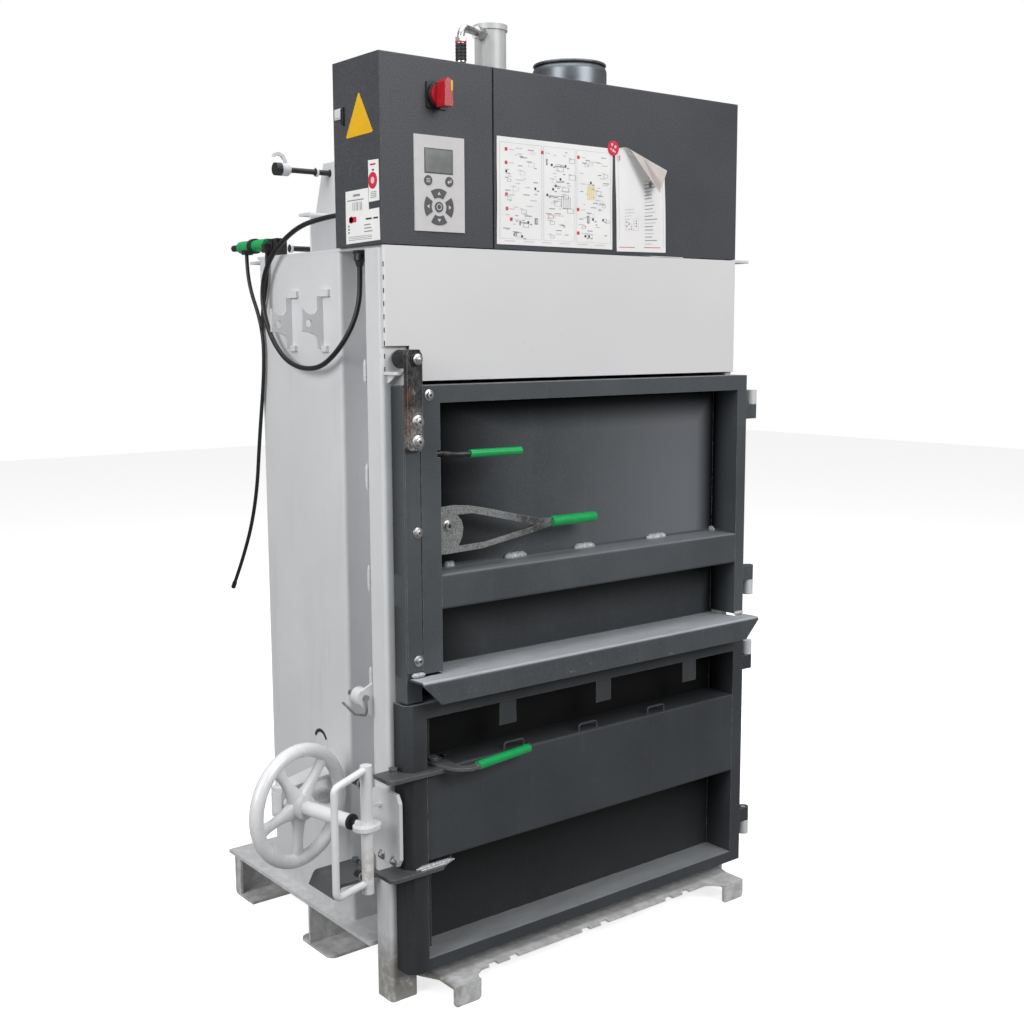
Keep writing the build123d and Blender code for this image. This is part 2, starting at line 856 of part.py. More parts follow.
def door_hinge(low, seam, high, door_edge, pin_below):
    """Boss with a blind bore for the pin and a lug to the door's edge."""
    bottom = seam + knuckle_gap if pin_below else low
    top = high if pin_below else seam - knuckle_gap
    boss = rod((hinge_x, hinge_y, bottom), (hinge_x, hinge_y, top), hinge_boss)
    boss += block(door_edge, hinge_x, hinge_y - 11, hinge_y - 2, bottom, top)
    bore = rod((hinge_x, hinge_y, low - 1), (hinge_x, hinge_y, high + 1),
               hinge_pin_radius + running_play)
    return boss - bore


frame_halves = [frame_hinge(*upper_hinges[0], False), frame_hinge(*upper_hinges[1], True),
                frame_hinge(*lower_hinges[0], False), frame_hinge(*lower_hinges[1], True)]
parts["frame_hinges"] = group(*frame_halves)
parts["upper_door_hinges"] = group(door_hinge(*upper_hinges[0], upper_right, False),
                                   door_hinge(*upper_hinges[1], upper_right, True))
parts["lower_door_hinges"] = group(door_hinge(*lower_hinges[0], lower_right, False),
                                   door_hinge(*lower_hinges[1], lower_right, True))


# Upper door
def upper_door_frame():
    """Folded door frame with its recessed panel, lever slots and a shelf for the strip."""
    outer = block(strip_right + 2, upper_right, door_front, door_back, upper_bottom, upper_top)
    outer -= block(strip_right + 2 + door_sheet, upper_right - door_sheet,
                   door_front + door_sheet, door_back + 1, upper_bottom - 1,
                   upper_top - door_sheet)
    tray = block(opening_left - door_sheet, opening_right + door_sheet, door_front, panel_back,
                 upper_bottom, opening_top + door_sheet)
    tray += block(opening_left - door_sheet, opening_right + door_sheet, panel_front, panel_back,
                  apron_bottom, upper_bottom)
    door = outer + tray - block(opening_left, opening_right, door_front - 1, panel_front,
                                upper_bottom - 1, opening_top)
    backing = block(upper_left, strip_right + 2, door_front + strip_sheet, door_back,
                    apron_bottom, upper_top)
    backing -= block(upper_left + door_sheet, strip_right + 1, door_front + strip_sheet
                     + door_sheet, door_back + 1, apron_bottom - 1, upper_top - door_sheet)
    door += backing
    door -= block(opening_left - 8, opening_left + 1, fork_y - 10, fork_y + 10,
                  fork_z - 73, fork_z + 75)
    door -= block(rod_x, opening_left + 1, door_front - 1, rod_y + 10, rod_z - 7, rod_z + 7)
    for low in (rod_z - 22, rod_z + 16):
        door += block(strip_right + 4, opening_left - door_sheet, door_front + door_sheet, -300,
                      low, low + 4)
    door += rod((rod_x, rod_y, rod_z - 20), (rod_x, rod_y, rod_z + 18), rod_pin)
    fork_seat = fork_y + 3.3
    door += rod((fork_x, panel_front, fork_z), (fork_x, fork_seat, fork_z), 14)
    door += rod((fork_x, fork_seat, fork_z), (fork_x, fork_seat - 12.4, fork_z), fork_pin)
    return door


parts["upper_door_frame"] = upper_door_frame()
parts["mid_rail"] = sheet_along_x([(panel_front, rail_top), (door_front, rail_top),
                                   (door_front, rail_bottom), (panel_front, rail_bottom)],
                                  door_sheet, opening_left, opening_right, 2)


def loading_lip():
    """Lip over the lower door, folded down in front, with cut corners."""
    lip = sheet_along_x([(panel_front, lip_back), (lip_front, lip_crease), (lip_front, lip_edge)],
                        lip_sheet, lip_left, lip_right, 3)
    for x0, x1 in ((lip_left - 1, opening_left), (opening_right, lip_right + 1)):
        lip -= block(x0, x1, door_front, panel_front + 1, lip_edge, lip_crease + 4)
    slope = lip_crease - lip_edge - 6
    for corner, side in ((lip_left, 1), (lip_right, -1)):
        wedge = upright([(corner - side, lip_edge - 1), (corner - side, lip_edge + slope),
                         (corner + side * slope, lip_edge - 1)], lip_front - 5, lip_front + 8)
        lip -= wedge
    return lip


parts["loading_lip"] = loading_lip()
strip_step = strip_right + 2
parts["lock_strip"] = upright([
    (upper_left, 674), (strip_step, 674), (strip_step, 707), (strip_right, 707),
    (strip_right, 1094), (strip_step, 1094), (strip_step, 1213), (upper_left, 1213),
], door_front, door_front + strip_sheet)
strap_front = door_front - 12
strap_left = upper_left - 1
strap_low = upper_top - 119
strap_high = roller_z + 18
strap_outline = [
    (strap_left, strap_low + 6), (strap_left + 6, strap_low), (strip_right - 5, strap_low),
    (strip_right, strap_low + 6), (strip_right, strap_high - 10), (strip_right - 6, strap_high),
    (strap_left + 5, strap_high), (strap_left, strap_high - 10),
]
parts["worn_strap"] = upright(strap_outline, strap_front, door_front)
strap_screws = [(-434, strap_front, strap_low + 53), (-434.5, strap_front, strap_low + 16)]
door_screws = [(-401, door_front, 1199), (-430, door_front, 942), (-432, door_front, 696)]
parts["door_screws"] = group(*[screw_head(place, 15, 7) for place in strap_screws],
                             *[screw_head(place, 13, 6) for place in door_screws])
roller_back = door_front + 40
axle = rod((roller_x, strap_front - 8, roller_z), (roller_x, strap_front, roller_z), 9)
axle += rod((roller_x, strap_front, roller_z), (roller_x, roller_back + 1, roller_z), roller_axle)
parts["worn_strap"] += axle
roller = rod((roller_x, door_front + 1, roller_z), (roller_x, roller_back, roller_z),
             roller_radius)
parts["roller"] = roller - rod((roller_x, door_front, roller_z),
                               (roller_x, roller_back + 2, roller_z), roller_axle + running_play)


def release_lever():
    """Bent steel rod on an upright pin inside the stile."""
    eye = rod((rod_x, rod_y, rod_z - 6), (rod_x, rod_y, rod_z + 6), rod_radius + 0.5)
    line = FilletPolyline((rod_x, rod_y, rod_z), (rod_x + 14, rod_y - 2, rod_z),
                          (-345, -342, rod_z - 3), (release_grip_start, -344, rod_z - 3),
                          radius=[10, 30])
    section = Plane(origin=(rod_x, rod_y, rod_z), z_dir=(14, -2, 0)) * Circle(rod_radius)
    lever = eye + sweep(section, path=line)
    lever += rod((release_grip_start, -344, rod_z - 3), (-200, -346, rod_z - 4), rod_radius)
    return lever - rod((rod_x, rod_y, rod_z - 18), (rod_x, rod_y, rod_z + 17),
                       rod_pin + running_play)


release_grip_start = -313
parts["release_lever"] = release_lever()
parts["release_grip"] = rod((release_grip_start, -344, rod_z - 3),
                            (-190, -346.2, rod_z - 4), 8) - parts["release_lever"]


def y_lever():
    """Forked flat lever with a round head on the pivot, cut from one plate."""
    plate = upright([
        (-370, 982), (-330, 984), (-290, 980), (-252, 972), (-112, 938), (fork_grip_start, 938),
        (fork_grip_start, 922), (-112, 917), (-136, 912), (-262, 893), (-352, 890), (-370, 892),
    ], fork_y - 3.1, fork_y + 3.1)
    plate -= upright([
        (-323, 965), (-288, 965), (-252, 957), (-140, 930), (-126, 927), (-140, 923),
        (-253, 905), (-321, 903), (-312, 920), (-309, 939), (-313, 953),
    ], fork_y - 5, fork_y + 5)
    plate += rod((fork_grip_start, fork_y, 930), (24, fork_y, 930), 5)
    return plate - rod((fork_x, fork_y - 8, fork_z), (fork_x, fork_y + 8, fork_z),
                       fork_pin + running_play)


fork_grip_start = -84
parts["y_lever"] = y_lever()
parts["y_lever_grip"] = fillet(
    rod((fork_grip_start, fork_y, 930), (38, fork_y, 930), 11).edges().group_by(Axis.X)[-1], 6
) - parts["y_lever"]


# Lower door
def lower_door_frame():
    """Folded door frame with a deep panel, hanging tabs and wire loops."""
    corner = 14
    plan = [(lower_left, door_back), (lower_left, door_front + corner),
            (lower_left + corner, door_front), (lower_right, door_front),
            (lower_right, door_back)]
    outer = sheet_along_z(plan, door_sheet, lower_bottom, lower_top, 1)
    outer += block(lower_left + corner + 2, lower_right - 5, door_front, door_back,
                   lower_bottom, lower_bottom + door_sheet)
    outer += block(lower_left + corner + 2, lower_right - 5, door_front, door_back,
                   lower_top - door_sheet, lower_top)
    tray = block(lower_opening_left - door_sheet, lower_opening_right + door_sheet, door_front,
                 panel_back, lower_opening_bottom - door_sheet, lower_opening_top + door_sheet)
    inner_left = chamber_left + 6
    tray -= block(lower_opening_left - door_sheet - 1, inner_left - door_sheet, door_back,
                  panel_back + 1, lower_bottom, lower_top)
    door = outer + tray
    door -= block(lower_opening_left, lower_opening_right, door_front - 1,
                  door_back - door_sheet, lower_opening_bottom, lower_opening_top)
    door -= block(inner_left, lower_opening_right, door_back - door_sheet - 1, panel_front,
                  lower_opening_bottom, lower_opening_top)
    for centre in tab_places:
        door += block(centre - tab_width / 2, centre + tab_width / 2, door_front + door_sheet,
                      door_front + 2 * door_sheet, lower_opening_top - 48,
                      lower_opening_top + 20)
    return door


parts["lower_door_frame"] = lower_door_frame()


def wide_rail():
    """Wide folded rail across the door, notched round the latch plate, with wire loops."""
    rail = sheet_along_x([(panel_front, wide_rail_top), (door_front, wide_rail_top),
                          (door_front, wide_rail_bottom), (panel_front, wide_rail_bottom)],
                         door_sheet, lower_opening_left, lower_opening_right, 2)
    rail -= block(lower_opening_left - 1, chamber_left + 6, door_back - door_sheet,
                  panel_front + 1, wide_rail_bottom - 1, wide_rail_top + 1)
    rail -= block(lower_opening_left - 1, latch_right + 1, door_front - 1, -290,
                  latch_plate_top - latch_sheet, latch_plate_top)
    loop_y = door_front + 11
    loop_top = wide_rail_top + loop_height
    for centre in loop_places:
        left = centre - loop_width / 2
        right = centre + loop_width / 2
        line = FilletPolyline((left, loop_y, wide_rail_top - 2), (left, loop_y, loop_top),
                              (right, loop_y, loop_top), (right, loop_y, wide_rail_top - 2),
                              radius=6)
        section = Plane(origin=(left, loop_y, wide_rail_top - 2), z_dir=(0, 0, 1))
        rail += sweep(section * Circle(2.5), path=line)
    return rail


latch_right = -348
parts["wide_rail"] = wide_rail()


def latch_plates():
    """Upper and lower latch plates that reach past the door's left edge."""
    plate_back = door_back - 0.5
    around = [(lower_left, plate_back), (lower_left, door_front + 14),
              (lower_left + 14, door_front), (lower_opening_left + 1, door_front)]
    upper = flat([(latch_left, plate_back), (latch_left, latch_front + 9),
                  (latch_left + 8, latch_front), (-384, latch_front), (-362, latch_front + 8),
                  (latch_right, -332), (latch_right, -304), (-358, -296),
                  (lower_opening_left + 1, -296), *reversed(around)],
                 latch_plate_top - latch_sheet, latch_plate_top)
    lower = flat([(latch_left, plate_back), (latch_left, latch_front + 9),
                  (latch_left + 8, latch_front), (-392, latch_front), (-347, -318),
                  (-351, -306), (-364, -302), (lower_opening_left + 1, -302),
                  *reversed(around)], lower_latch_bottom, lower_latch_top)
    bolt = hex_bolt((-476, -308, latch_plate_top), 16, 9)
    head = latch_plate_top + latch_lever_sheet + 1
    pivot = rod((latch_pivot_x, latch_pivot_y, latch_plate_top),
                (latch_pivot_x, latch_pivot_y, head), latch_pin)
    pivot += rod((latch_pivot_x, latch_pivot_y, head),
                 (latch_pivot_x, latch_pivot_y, head + 7), 11)
    return group(upper + bolt + pivot, lower)


latch_lever_sheet = 6
parts["latch_plates"] = latch_plates()


def latch_lever():
    """Flat bent lever above the upper latch plate."""
    low = latch_plate_top + 0.3
    high = low + latch_lever_sheet
    eye = rod((latch_pivot_x, latch_pivot_y, low), (latch_pivot_x, latch_pivot_y, high), 15)
    bar = flat([(-399, -318), (-386, -366), (-372, -388), (-352, -398), (-330, -396),
                (-334, -378), (-350, -378), (-360, -370), (-371, -314)], low, high)
    bar += rod((-334, -386, low + 3), (-200, -364, low + 3), 5)
    lever = eye + bar
    return lever - rod((latch_pivot_x, latch_pivot_y, low - 1),
                       (latch_pivot_x, latch_pivot_y, high + 1), latch_pin + running_play)


parts["latch_lever"] = latch_lever()
latch_grip_z = latch_plate_top + 0.3 + latch_lever_sheet / 2
parts["latch_grip"] = rod((-330, -385.3, latch_grip_z), (-184, -361.4, latch_grip_z), 9)
parts["latch_grip"] -= parts["latch_lever"]


# Lock
turn = math.radians(lock_angle)
lock_axis = Vector(-math.sin(turn), math.cos(turn), 0)
lock_side = Vector(math.cos(turn), math.sin(turn), 0)
bar_place = Vector(bar_x, bar_y, spindle_z)
wheel_place = bar_place + lock_axis * wheel_distance
trunnion_place = bar_place + lock_axis * trunnion_distance


def along(distance):
    """Point on the lock's axis at a distance behind the locking bar."""
    return tuple(bar_place + lock_axis * distance)


def lock_bar():
    """Locking bar with its collar, the spindle behind it and the bent hand bar."""
    bar = rod((bar_x, bar_y, bar_bottom), (bar_x, bar_y, bar_top), bar_radius)
    collar_face = Plane(origin=(bar_x, bar_y, spindle_z - 4), x_dir=lock_side, z_dir=(0, 0, 1))
    collar = extrude(collar_face * SlotOverall(58, 44), 8)
    spindle = rod(along(4), along(150), spindle_radius)
    line = FilletPolyline((bar_x, bar_y - 2, 508), (-630, -348, 490), (-630, -348, 279),
                          (-577, -335, 283), radius=12)
    section = Plane(origin=(bar_x, bar_y - 2, 508), z_dir=(-80, -16, -18)) * Circle(hand_bar_radius)
    hand = sweep(section, path=line)
    tip = rod((-577, -335, 283), (bar_x, bar_y, 284), hand_bar_radius)
    return bar + collar + spindle + hand + tip


parts["lock_bar"] = lock_bar()


def spoke(angle):
    """Webbed spoke between the hub and the rim, thickest at the hub."""
    way = lock_side * math.cos(angle) + Vector(0, 0, 1) * math.sin(angle)
    centre = Vector(*along(wheel_distance))
    sections = []
    for distance, width, depth in ((16, 22, 12), (48, 13, 9), (86, 12, 8), (rim_centre, 19, 7)):
        face = Plane(origin=centre + way * distance, x_dir=lock_axis, z_dir=way)
        sections.append(face * Ellipse(depth, width))
    return loft(sections)


def handwheel():
    """Cast wheel with five webbed spokes, a long hub and a shaft towards the trunnion."""
    face = Plane(origin=along(wheel_distance), z_dir=lock_axis, x_dir=lock_side)
    wheel = Part() + rod(along(wheel_distance - 22), along(wheel_distance + 14), 24)
    wheel += face * Torus(rim_centre, rim_radius)
    for number in range(5):
        wheel += spoke(math.radians(first_spoke + 72 * number))
    wheel += rod(along(wheel_distance - sleeve_reach), along(wheel_distance), sleeve_radius)
    wheel += rod(along(wheel_distance), along(trunnion_distance - trunnion_flat), shaft_radius)
    wheel -= rod(along(wheel_distance - sleeve_reach - 1), along(wheel_distance + 10),
                 spindle_radius + running_play)
    return wheel


parts["handwheel"] = handwheel()


def trunnion():
    """Block that swings on the bracket's pin, with a flat face for the wheel's shaft."""
    x, y = trunnion_place.X, trunnion_place.Y
    low = spindle_z - ear_gap + 0.3
    high = spindle_z + ear_gap - 0.3
    body = rod((x, y, low), (x, y, high), trunnion_radius)
    body -= rod(along(trunnion_distance - 40), along(trunnion_distance - trunnion_flat + 0.3), 40)
    return body - rod((x, y, low - 1), (x, y, high + 1), trunnion_pin + running_play)


parts["trunnion"] = trunnion()


def lock_bracket():
    """Two ears on the side beam that carry the trunnion's pin."""
    x, y = trunnion_place.X, trunnion_place.Y
    outline = [(beam_left, -96), (beam_left, -24), (x - 2, y + 19), (x - 18, y + 8),
               (x - 18, y - 8), (x - 8, y - 18), (x + 24, y - 16)]
    bracket = block(beam_left - 6, beam_left, -96, -24, spindle_z - ear_gap - 8,
                    spindle_z + ear_gap + 8)
    for low in (spindle_z - ear_gap - 8, spindle_z + ear_gap):
        bracket += flat(outline, low, low + 8)
    return bracket + rod((x, y, spindle_z - ear_gap - 14), (x, y, spindle_z + ear_gap + 14),
                         trunnion_pin)


parts["lock_bracket"] = lock_bracket()


def shelf_plate():
    """Shelf on the post under the locking bar, with its end bent down."""
    path = [(-post_outer, 262), (-572, 262), (-586, 236)]
    plane = Plane(origin=(0, -165, 0), x_dir=(1, 0, 0), z_dir=(0, -1, 0))
    plate = extrude(plane * folded(path, 8, 3), 94)
    for y in (-186, -212):
        plate += hex_bolt((-490, y, 262), 14, 10)
    return plate


parts["shelf_plate"] = shelf_plate()


# Rear and left side
def strap_axles():
    """Two axles for the strap rolls between side plates on the frame's top."""
    front, back = axle_y - 52, axle_y + 78
    low = top_plate_top
    side = [(front, low), (back, low), (back, low + 84), (axle_y + 28, low + 224),
            (axle_y - 22, low + 224), (front, low + 84)]
    shape = sideways(side, -225, -221) + sideways(side, 300, 304)
    for z in axle_heights:
        shape += rod((axle_left, axle_y, z), (-axle_left, axle_y, z), axle_radius)
        for x in (axle_left, axle_left + 71):
            shape += rod((x, axle_y, z), (x + 5, axle_y, z), axle_radius + 4)
    return shape + rod((axle_left - 32, axle_y, axle_heights[0]),
                       (axle_left, axle_y, axle_heights[0]), 14)


parts["strap_axles"] = strap_axles()


def rear_bar():
    """Bar along the frame's top edge on two clamps, and a hanger round its grip."""
    x, z = rear_bar_x, rear_bar_z
    bar = rod((x, 112, z), (x, 337, z), rear_bar_radius)
    for y in (118, 140):
        bar += block(x - 12, x + 12, y, y + 16, top_plate_top, z + 10)
    bar += block(lead_x - 8.5, x - 12, 141, 155, 1482, 1500)
    hanger = rod((x, 232, z), (x, 246, z), rear_grip_radius + 3)
    hanger -= rod((x, 231, z), (x, 247, z), rear_grip_radius)
    hook = block(lead_x - 8.5, x - 8, 232, 246, 1482, 1492)
    hook -= rod((x, 231, z), (x, 247, z), rear_grip_radius)
    return group(bar, hanger + hook)


parts["rear_bar"] = rear_bar()
parts["rear_grip"] = rod(
    (rear_bar_x, rear_grip_start, rear_bar_z), (rear_bar_x, rear_grip_end, rear_bar_z),
    rear_grip_radius) - rod((rear_bar_x, rear_grip_start - 1, rear_bar_z),
                            (rear_bar_x, rear_grip_end + 1, rear_bar_z), rear_bar_radius)
gland_start = cable_route[0]
gland_end = cable_route[-1]
lower_gland = rod(gland_start, (gland_start[0], gland_start[1], frame_top), gland_radius)
upper_gland = rod(gland_end, (gland_end[0], hood_back, gland_end[2]), gland_radius)
parts["cable_glands"] = group(lower_gland, upper_gland)
parts["control_cable"] = cord("cable", cable_route, cable_radius)
lead = cord("lead", lead_route, lead_radius)
branch = cord("branch", branch_route, lead_radius)
parts["hanging_lead"] = lead + branch
lead_end = Vector(*lead_route[-1])
lead_way = (lead_end - Vector(*lead_route[-2])).normalized()
parts["lead_tip"] = rod(tuple(lead_end), tuple(lead_end + lead_way * tip_length), tip_radius)

for node, shape in parts.items():
    export_step(shape, f"parts/{node}.step")
    print(node, len(shape.solids()), round(shape.volume))
print("nodes", len(parts))
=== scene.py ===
import json
import random
from math import cos, pi, radians, sin, tau

import bmesh
import bpy
from mathutils import Matrix, Vector


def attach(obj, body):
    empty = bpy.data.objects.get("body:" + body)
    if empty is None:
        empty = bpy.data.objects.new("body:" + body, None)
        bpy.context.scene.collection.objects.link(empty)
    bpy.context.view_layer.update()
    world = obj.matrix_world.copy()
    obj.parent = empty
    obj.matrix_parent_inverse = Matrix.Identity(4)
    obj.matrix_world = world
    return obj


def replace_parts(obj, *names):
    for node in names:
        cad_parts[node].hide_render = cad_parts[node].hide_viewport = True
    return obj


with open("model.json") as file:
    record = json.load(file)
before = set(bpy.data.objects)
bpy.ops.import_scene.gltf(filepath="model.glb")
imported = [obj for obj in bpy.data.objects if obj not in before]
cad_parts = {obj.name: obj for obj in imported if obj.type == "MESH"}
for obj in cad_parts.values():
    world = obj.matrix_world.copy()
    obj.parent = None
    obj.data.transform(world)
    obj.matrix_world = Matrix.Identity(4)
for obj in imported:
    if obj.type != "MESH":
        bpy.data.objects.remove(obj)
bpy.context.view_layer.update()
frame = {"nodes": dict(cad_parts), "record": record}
nodes = frame["nodes"]
bodies = {name: body for body, members in frame["record"]["behaviour"]["bodies"].items()
          for name in members}
slots = {part["node"]: part["material_slot"] for part in frame["record"]["subparts"]}
scene = bpy.context.scene
mm = 0.001

# Camera: its place in metres, and its turn to the right, its dip and its roll in radians
camera_place = Vector((-1.8014, -2.3607, 1.3089))
camera_yaw = 0.667954
camera_dip = 0.133708
camera_roll = -0.0045
camera_lens = 46.19
sensor_width = 36

# Cords, in millimetres, along the routes that the construction has
cable_diameter = 10
cable_route = [
    (-450, -182, 1440), (-450, -182, 1408), (-454, -184, 1374), (-463, -180, 1338),
    (-475, -166, 1303), (-484, -138, 1273), (-486, -98, 1252), (-486, -52, 1244),
    (-485, 8, 1247), (-485, 66, 1266), (-485, 120, 1312), (-485, 149, 1372),
    (-485, 143, 1428), (-485, 104, 1474), (-484, 44, 1506), (-480, -18, 1528),
    (-464, -66, 1537), (-457, -98, 1540), (-457, -119, 1540),
]
lead_diameter = 8
lead_x = -471.5
lead_route = [(lead_x, y, z) for y, z in (
    (239, 1482), (239, 1450), (224, 1402), (192, 1354), (174, 1301), (176, 1240), (187, 1176),
    (200, 1116), (211, 1056), (221, 996), (238, 938), (262, 882), (297, 824), (322, 787), (346, 754))]
branch_route = [(lead_x, y, z) for y, z in (
    (148, 1482), (148, 1448), (156, 1408), (174, 1368), (180, 1322))]
hose_diameter = 16
hose_route = [
    (-77.5, -6.5, 1888), (-77.5, -6.5, 1840), (-75, 14, 1772), (-52, 52, 1716),
    (-18, 82, 1670), (22, 100, 1634), (64, 106, 1622), (103, 106, 1622),
]

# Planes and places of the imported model, in millimetres
hood_face = -300
keypad_face = -303
box_left_face = -474
door_face = -337
beam_left_face = -464
cover_left_face = -472
strap_face = -349
mid_rail_top = 856
lock_bar_place = Vector((-550, -330, 395))
lock_turn = radians(14)
lock_axis = Vector((-sin(lock_turn), cos(lock_turn), 0))
to_top = (0, 0, 1)
to_floor = (0, 0, -1)
to_front = (0, -1, 0)
to_rear = (0, 1, 0)
to_left = (-1, 0, 0)

# For the finishes: the strap axles' places in metres, the gloss of the coated paints, and the
# sockets of a Mix node for colours
strap_axle_heights = (1.676, 1.504)
strap_axle_y = 0.302
coat_specular = 0.32
mix_first, mix_second, mix_result = 6, 7, 2


def point(x, y, z):
    """Place in metres from millimetres."""
    return Vector((x, y, z)) * mm


def shade(red, green, blue):
    """Linear colour from one as a screen shows it, each part from 0 to 255."""
    return tuple(((value / 255 + 0.055) / 1.055) ** 2.4 if value > 10 else value / 3295
                 for value in (red, green, blue))


def front(y):
    """Plane that faces the front: its directions are right, up and out."""
    return lambda u, v, w: Vector((u, y - w, v))


def left(x):
    """Plane that faces the left: its directions are back, up and out."""
    return lambda u, v, w: Vector((x - w, u, v))


def add_object(name, data):
    """Object in the scene for a mesh, a curve, a lamp or a camera."""
    made = bpy.data.objects.new(name, data)
    scene.collection.objects.link(made)
    return made


def add_camera():
    """Camera at the photograph's place."""
    forward = Vector((sin(camera_yaw) * cos(camera_dip),
                      cos(camera_yaw) * cos(camera_dip), -sin(camera_dip)))
    level = Vector((cos(camera_yaw), -sin(camera_yaw), 0))
    upward = level.cross(forward)
    right = level * cos(camera_roll) + upward * sin(camera_roll)
    up = upward * cos(camera_roll) - level * sin(camera_roll)
    data = bpy.data.cameras.new("photo_camera")
    data.lens = camera_lens
    data.sensor_width = sensor_width
    camera = add_object("photo_camera", data)
    turn = Matrix((right, up, -forward)).transposed()
    camera.matrix_world = Matrix.Translation(camera_place) @ turn.to_4x4()
    scene.camera = camera


add_camera()


# Materials
class Finish:
    """Builds a material from a few kinds of node."""

    def __init__(self, name):
        self.material = bpy.data.materials.new(name)
        self.material.use_nodes = True
        self.tree = self.material.node_tree
        self.shader = self.tree.nodes["Principled BSDF"]
        self.place = self.new("TexCoord", "Object", {})
        self.colour = None

    def new(self, kind, result, inputs, **settings):
        """Adds a node, sets or links its inputs, and gives one of its outputs."""
        node = self.tree.nodes.new("ShaderNode" + kind)
        for key, value in settings.items():
            setattr(node, key, value)
        for key, value in inputs.items():
            if isinstance(value, bpy.types.NodeSocket):
                self.tree.links.new(value, node.inputs[key])
            else:
                node.inputs[key].default_value = value
        return node.outputs[result]

    def join(self, **sources):
        """Links sockets to the shader's own ones."""
        for key, source in sources.items():
            self.tree.links.new(source, self.shader.inputs[key.replace("_", " ")])

    def set(self, **values):
        """Constants on the shader's own sockets."""
        for key, value in values.items():
            self.shader.inputs[key.replace("_", " ")].default_value = value

    def noise(self, scale, detail=3, roughness=0.5, stretch=(1, 1, 1)):
        """Noise over the object, which may be stretched along its axes."""
        place = self.new("Mapping", "Vector", {"Vector": self.place, "Scale": stretch})
        inputs = {"Vector": place, "Scale": scale, "Detail": detail, "Roughness": roughness}
        return self.new("TexNoise", "Fac", inputs)

    def remap(self, value, low, high, to_low=0.0, to_high=1.0):
        """Value moved from one range to another and kept inside it."""
        inputs = {"Value": value, "From Min": low, "From Max": high, "To Min": to_low, "To Max": to_high}
        return self.new("MapRange", "Result", inputs)

    def patches(self, low, high, scale, detail, roughness, stretch=(1, 1, 1)):
        """Mask from noise: 0 below one level of it, 1 above the other."""
        return self.remap(self.noise(scale, detail, roughness, stretch), low, high)

    def larger(self, first, second):
        """Larger of two masks."""
        return self.new("Math", "Value", {0: first, 1: second}, operation="MAXIMUM")

    def both(self, product, *masks):
        """Product of masks, each a socket or a number."""
        for mask in masks:
            product = self.new("Math", "Value", {0: product, 1: mask}, operation="MULTIPLY")
        return product

    def blend(self, factor, first, second):
        """Colour between two colours, each linear or a socket."""
        first, second = ((*colour, 1) if isinstance(colour, tuple) else colour
                         for colour in (first, second))
        inputs = {0: factor, mix_first: first, mix_second: second}
        return self.new("Mix", mix_result, inputs, data_type="RGBA")

    def mottled(self, marks, dark, light, low=0.3, high=0.7):
        """Starts with a colour that follows a noise from one linear tone to another."""
        self.colour = self.blend(self.remap(marks, low, high), dark, light)

    def cover(self, colour, *masks):
        """Lays a screen colour over the rest where all masks meet; a number weakens them."""
        self.colour = self.blend(self.both(*masks), self.colour, shade(*colour))

    def ramp(self, name, start, end, to_start=0.0, to_end=1.0):
        """Mask that goes from one value to another along an axis, in metres."""
        coordinate = self.new("SeparateXYZ", name, {0: self.place})
        return self.remap(coordinate, start, end, to_start, to_end)

    def between(self, name, low, high, soft):
        """Mask that is 1 between two places on an axis, in metres."""
        return self.both(self.ramp(name, low - soft, low + soft),
                         self.ramp(name, high + soft, high - soft))

    def near_line(self, base, axis, radius, soft=0.0004):
        """Mask that is 1 within a radius of a line, in metres."""
        away = self.new("VectorMath", "Vector", {0: self.place, 1: base}, operation="SUBTRACT")
        cross = self.new("VectorMath", "Vector", {0: away, 1: axis}, operation="CROSS_PRODUCT")
        length = self.new("VectorMath", "Value", {0: cross}, operation="LENGTH")
        return self.remap(length, radius + soft, radius - soft)

    def facing_up(self):
        """How far a surface faces up."""
        return self.new("SeparateXYZ", "Z", {0: self.new("NewGeometry", "Normal", {})})

    def edges(self, radius):
        """Share by which a surface lies on a sharp edge, and the rounded normal there."""
        rounded = self.new("Bevel", "Normal", {"Radius": radius}, samples=4)
        flat = self.new("NewGeometry", "Normal", {})
        likeness = self.new("VectorMath", "Value", {0: rounded, 1: flat}, operation="DOT_PRODUCT")
        return self.remap(likeness, 0.995, 0.85), rounded

    def bump(self, value, strength, distance, normal):
        """Relief from a value, on top of a rounded normal."""
        inputs = {"Strength": strength, "Distance": distance, "Height": value, "Normal": normal}
        return self.new("Bump", "Normal", inputs)

    def finish(self, marks, smooth, rough, normal):
        """Gives the shader its colour, a roughness that follows a noise, and its relief."""
        self.join(Base_Color=self.colour, Normal=normal,
                  Roughness=self.remap(marks, 0.3, 0.7, smooth, rough))
        return self.material


dark_steel = (38, 38, 40)
dirt_brown = (122, 112, 98)


